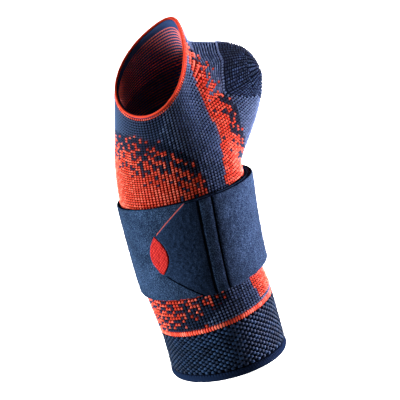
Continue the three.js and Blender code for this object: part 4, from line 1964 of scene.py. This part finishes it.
    def slab(
        self,
        name: str,
        place: Place,
        layer: Layer,
        finishes: list[Material],
        node: str | None = None,
    ) -> Piece:
        """A closed slab of cloth with rounded cut edges and a napped face.

        Args:
            name: The piece's name.
            place: Gives turn, rise and base height from shares along and across.
            layer: Its sizes.
            finishes: Materials of the face and of the cut edges.
            node: The solid's node, if it stands for one.

        Returns:
            The piece.
        """
        long, thick, wide = layer.long, layer.thick, 2 * self.half
        radius = min(thick, long * self.most_rounding) / 2
        s, w = np.meshgrid(*(edged(side, layer.step, radius) for side in (long, wide)), indexing="ij")
        near_s, near_w = np.minimum(s, long - s), np.minimum(w, wide - w)
        swell = np.ones_like(s)
        for near in (near_s, near_w):
            swell = swell * np.sqrt(1 - (1 - np.minimum(near / radius, 1.0)) ** 2)
        turn, rise, base = place(s / long, 2 * w / wide - 1)
        coarse, fine = (self.grain.at(turn * self.girth, rise, size) for size in self.nap_sizes)
        relief = coarse + self.nap_fine * fine
        top = base + thick * (0.5 + 0.5 * swell) + self.nap * (relief - 1.0) * swell
        under = base + thick * (0.5 - 0.5 * swell)
        rows, columns = s.shape
        # The under side shares the top's rim, and its own points are numbered after the top's.
        below = np.arange(rows * columns).reshape(rows, columns)
        inside = (slice(1, -1), slice(1, -1))
        below[inside] = rows * columns + np.arange(below[inside].size).reshape(below[inside].shape)
        points = np.vstack(
            [
                self.point(turn, rise, top).reshape(-1, 3),
                self.point(turn[inside], rise[inside], under[inside]).reshape(-1, 3),
            ]
        )
        quads = grid_faces(rows, columns, False, False)
        faces = np.vstack([quads, below.ravel()[quads][:, ::-1]])
        near = np.minimum(near_s, near_w).ravel()[quads].mean(axis=1)
        cut = (near < self.cut_edge).astype(int)
        return mesh_piece(name, points, faces, finishes, np.concatenate([cut, cut]), node)

    def roll(
        self, name: str, slot: Slot, edge: float, rise_share: float, radius: float, finish: Material
    ) -> Piece:
        """A thin roll on one of the flap's slanting edges.

        Args:
            name: The piece's name.
            slot: Not used.
            edge: Its place across the flap, from -1 at the lower edge to 1 at the upper one.
            rise_share: Its height over the strap, as a share of the flap's thickness.
            radius: The roll's radius.
            finish: Its material.

        Returns:
            The piece.
        """
        s = np.linspace(*self.roll_span)
        turn, rise, base = self.flap_place(s, np.full_like(s, edge))
        height = base + self.flap.thick * rise_share
        path = self.point(turn, rise, height)
        out = unit(self.point(turn, rise, height + 1.0) - path)
        way = unit(np.gradient(path, axis=0))
        side = unit(np.cross(way, out))
        sides = 8
        angle = 2 * math.pi * np.arange(sides)[None, :, None] / sides
        number = np.arange(len(s))
        from_end = np.minimum(number, number[::-1]) / self.roll_taper
        reach = radius * np.sqrt(np.clip(from_end, self.roll_least, 1.0))[:, None, None]
        points = path[:, None] + reach * (side[:, None] * np.cos(angle) + out[:, None] * np.sin(angle))
        faces = grid_faces(len(path), sides, False, True)[:, ::-1]
        # Three quads close each of the eight-sided ends.
        first = np.array([[0, 1, 2, 3], [0, 3, 4, 7], [4, 5, 6, 7]])
        faces = np.vstack([faces, first, (first + (len(path) - 1) * sides)[:, ::-1]])
        return mesh_piece(name, points, faces, [finish])


@dataclass(frozen=True)
class Lamp:
    """A soft studio light."""

    name: str
    place: tuple[float, float, float]
    size: tuple[float, float]
    watts: float
    colour: str = "#ffffff"
    spread_degrees: float = 180.0


@dataclass
class Studio:
    """The floor, the lights and the camera at the photograph's viewing angle."""

    floor_height: float = -0.3
    floor_size: float = 8.0
    floor_colour: str = "#f6f6f6"
    floor_roughness: float = 0.9
    rise_degrees: float = 22.0
    roll_degrees: float = 12.5
    distance: float = 0.9
    aim_right: float = 0.0065
    aim_up: float = 0.02
    lens: float = 162.0
    sensor: float = 36.0
    sky: float = 0.03
    sky_colour: str = "#ffffff"
    lamps: tuple[Lamp, ...] = (
        Lamp("left_strip", (-0.9, -0.1, 0.08), (0.5, 0.4), 3.2, "#dcefff", 34.0),
        Lamp("right_strip", (0.87, 0.24, 0.04), (0.5, 0.4), 6.1, "#ece9ff", 34.0),
    )
    floor_lamps: tuple[Lamp, ...] = (
        Lamp("back_wash", (0.0, 1.2, 0.7), (4.4, 1.8), 120.0, spread_degrees=50.0),
        Lamp("front_wash", (0.0, -1.6, 0.7), (5.0, 2.4), 30.0, spread_degrees=50.0),
    )

    def build(self) -> None:
        """Builds the floor, the sky, the lights and the camera."""
        bpy.ops.object.select_all(action="DESELECT")
        bpy.ops.mesh.primitive_plane_add(size=self.floor_size, location=(0.0, 0.0, self.floor_height))
        floor = bpy.context.active_object
        floor.name = "studio_floor"
        # Matt rolled paper: an even near-white that shows no gloss.
        values = {"Base Color": linear(self.floor_colour), "Roughness": self.floor_roughness}
        floor.data.materials.append(surface("matt_rolled_paper", values)[0])
        world = bpy.data.worlds.new("studio")
        world.use_nodes = True
        sky = world.node_tree.nodes["Background"]
        sky.inputs["Color"].default_value = linear(self.sky_colour)
        sky.inputs["Strength"].default_value = self.sky
        bpy.context.scene.world = world
        bpy.context.scene.view_settings.view_transform = "Standard"
        for lamp in self.lamps:
            self.light(lamp, unit(np.array(lamp.place)))
        for lamp in self.floor_lamps:
            self.light(lamp, UP)
        self.camera()

    def light(self, lamp: Lamp, back: Array) -> None:
        """Adds a soft light.

        Args:
            lamp: The light.
            back: The way its back faces.
        """
        data = bpy.data.lights.new(lamp.name, "AREA")
        data.shape, data.energy, data.color = "RECTANGLE", lamp.watts, linear(lamp.colour)[:3]
        data.size, data.size_y = lamp.size
        data.spread = math.radians(lamp.spread_degrees)
        light = bpy.data.objects.new(lamp.name, data)
        bpy.context.collection.objects.link(light)
        # A lamp that points straight down has no level way of its own, so it takes +X.
        level = np.cross(UP, back)
        right = unit(level) if level.any() else np.array([1.0, 0.0, 0.0])
        self.place(light, np.array(lamp.place), right, np.cross(back, right), back)

    def camera(self) -> None:
        """Adds the camera, rolled as the photograph is."""
        rise, roll = math.radians(self.rise_degrees), math.radians(self.roll_degrees)
        eye = np.array([0.0, -math.cos(rise), math.sin(rise)]) * self.distance
        right, up = np.array([1.0, 0.0, 0.0]), np.array([0.0, math.sin(rise), math.cos(rise)])
        aim = right * self.aim_right + up * self.aim_up
        back = unit(eye - aim)
        up = unit(up - back * (up @ back))
        right = np.cross(up, back)
        data = bpy.data.cameras.new("photo_view")
        data.lens, data.sensor_width = self.lens, self.sensor
        camera = bpy.data.objects.new("photo_view", data)
        bpy.context.collection.objects.link(camera)
        rolled_up = up * math.cos(roll) + right * math.sin(roll)
        rolled_right = right * math.cos(roll) - up * math.sin(roll)
        self.place(camera, eye, rolled_right, rolled_up, back)
        bpy.context.scene.camera = camera

    @staticmethod
    def place(thing: Piece, at: Array, right: Array, up: Array, back: Array) -> None:
        """Sets an object's place and turn.

        Args:
            thing: The object.
            at: Its place in metres.
            right: Its own X axis.
            up: Its own Y axis.
            back: Its own Z axis.
        """
        matrix = np.eye(4)
        matrix[:3, 0], matrix[:3, 1], matrix[:3, 2], matrix[:3, 3] = right, up, back, at
        thing.matrix_world = Matrix(matrix.tolist())


def main() -> None:
    """Builds the studio and the wrist support."""
    logging.basicConfig(level=logging.INFO, format="%(name)s %(message)s")
    Studio().build()
    tube = Tube()
    Sleeve(tube, Courses(tube)).build()
    Strap(tube).build()


if __name__ == "__main__":
    main()
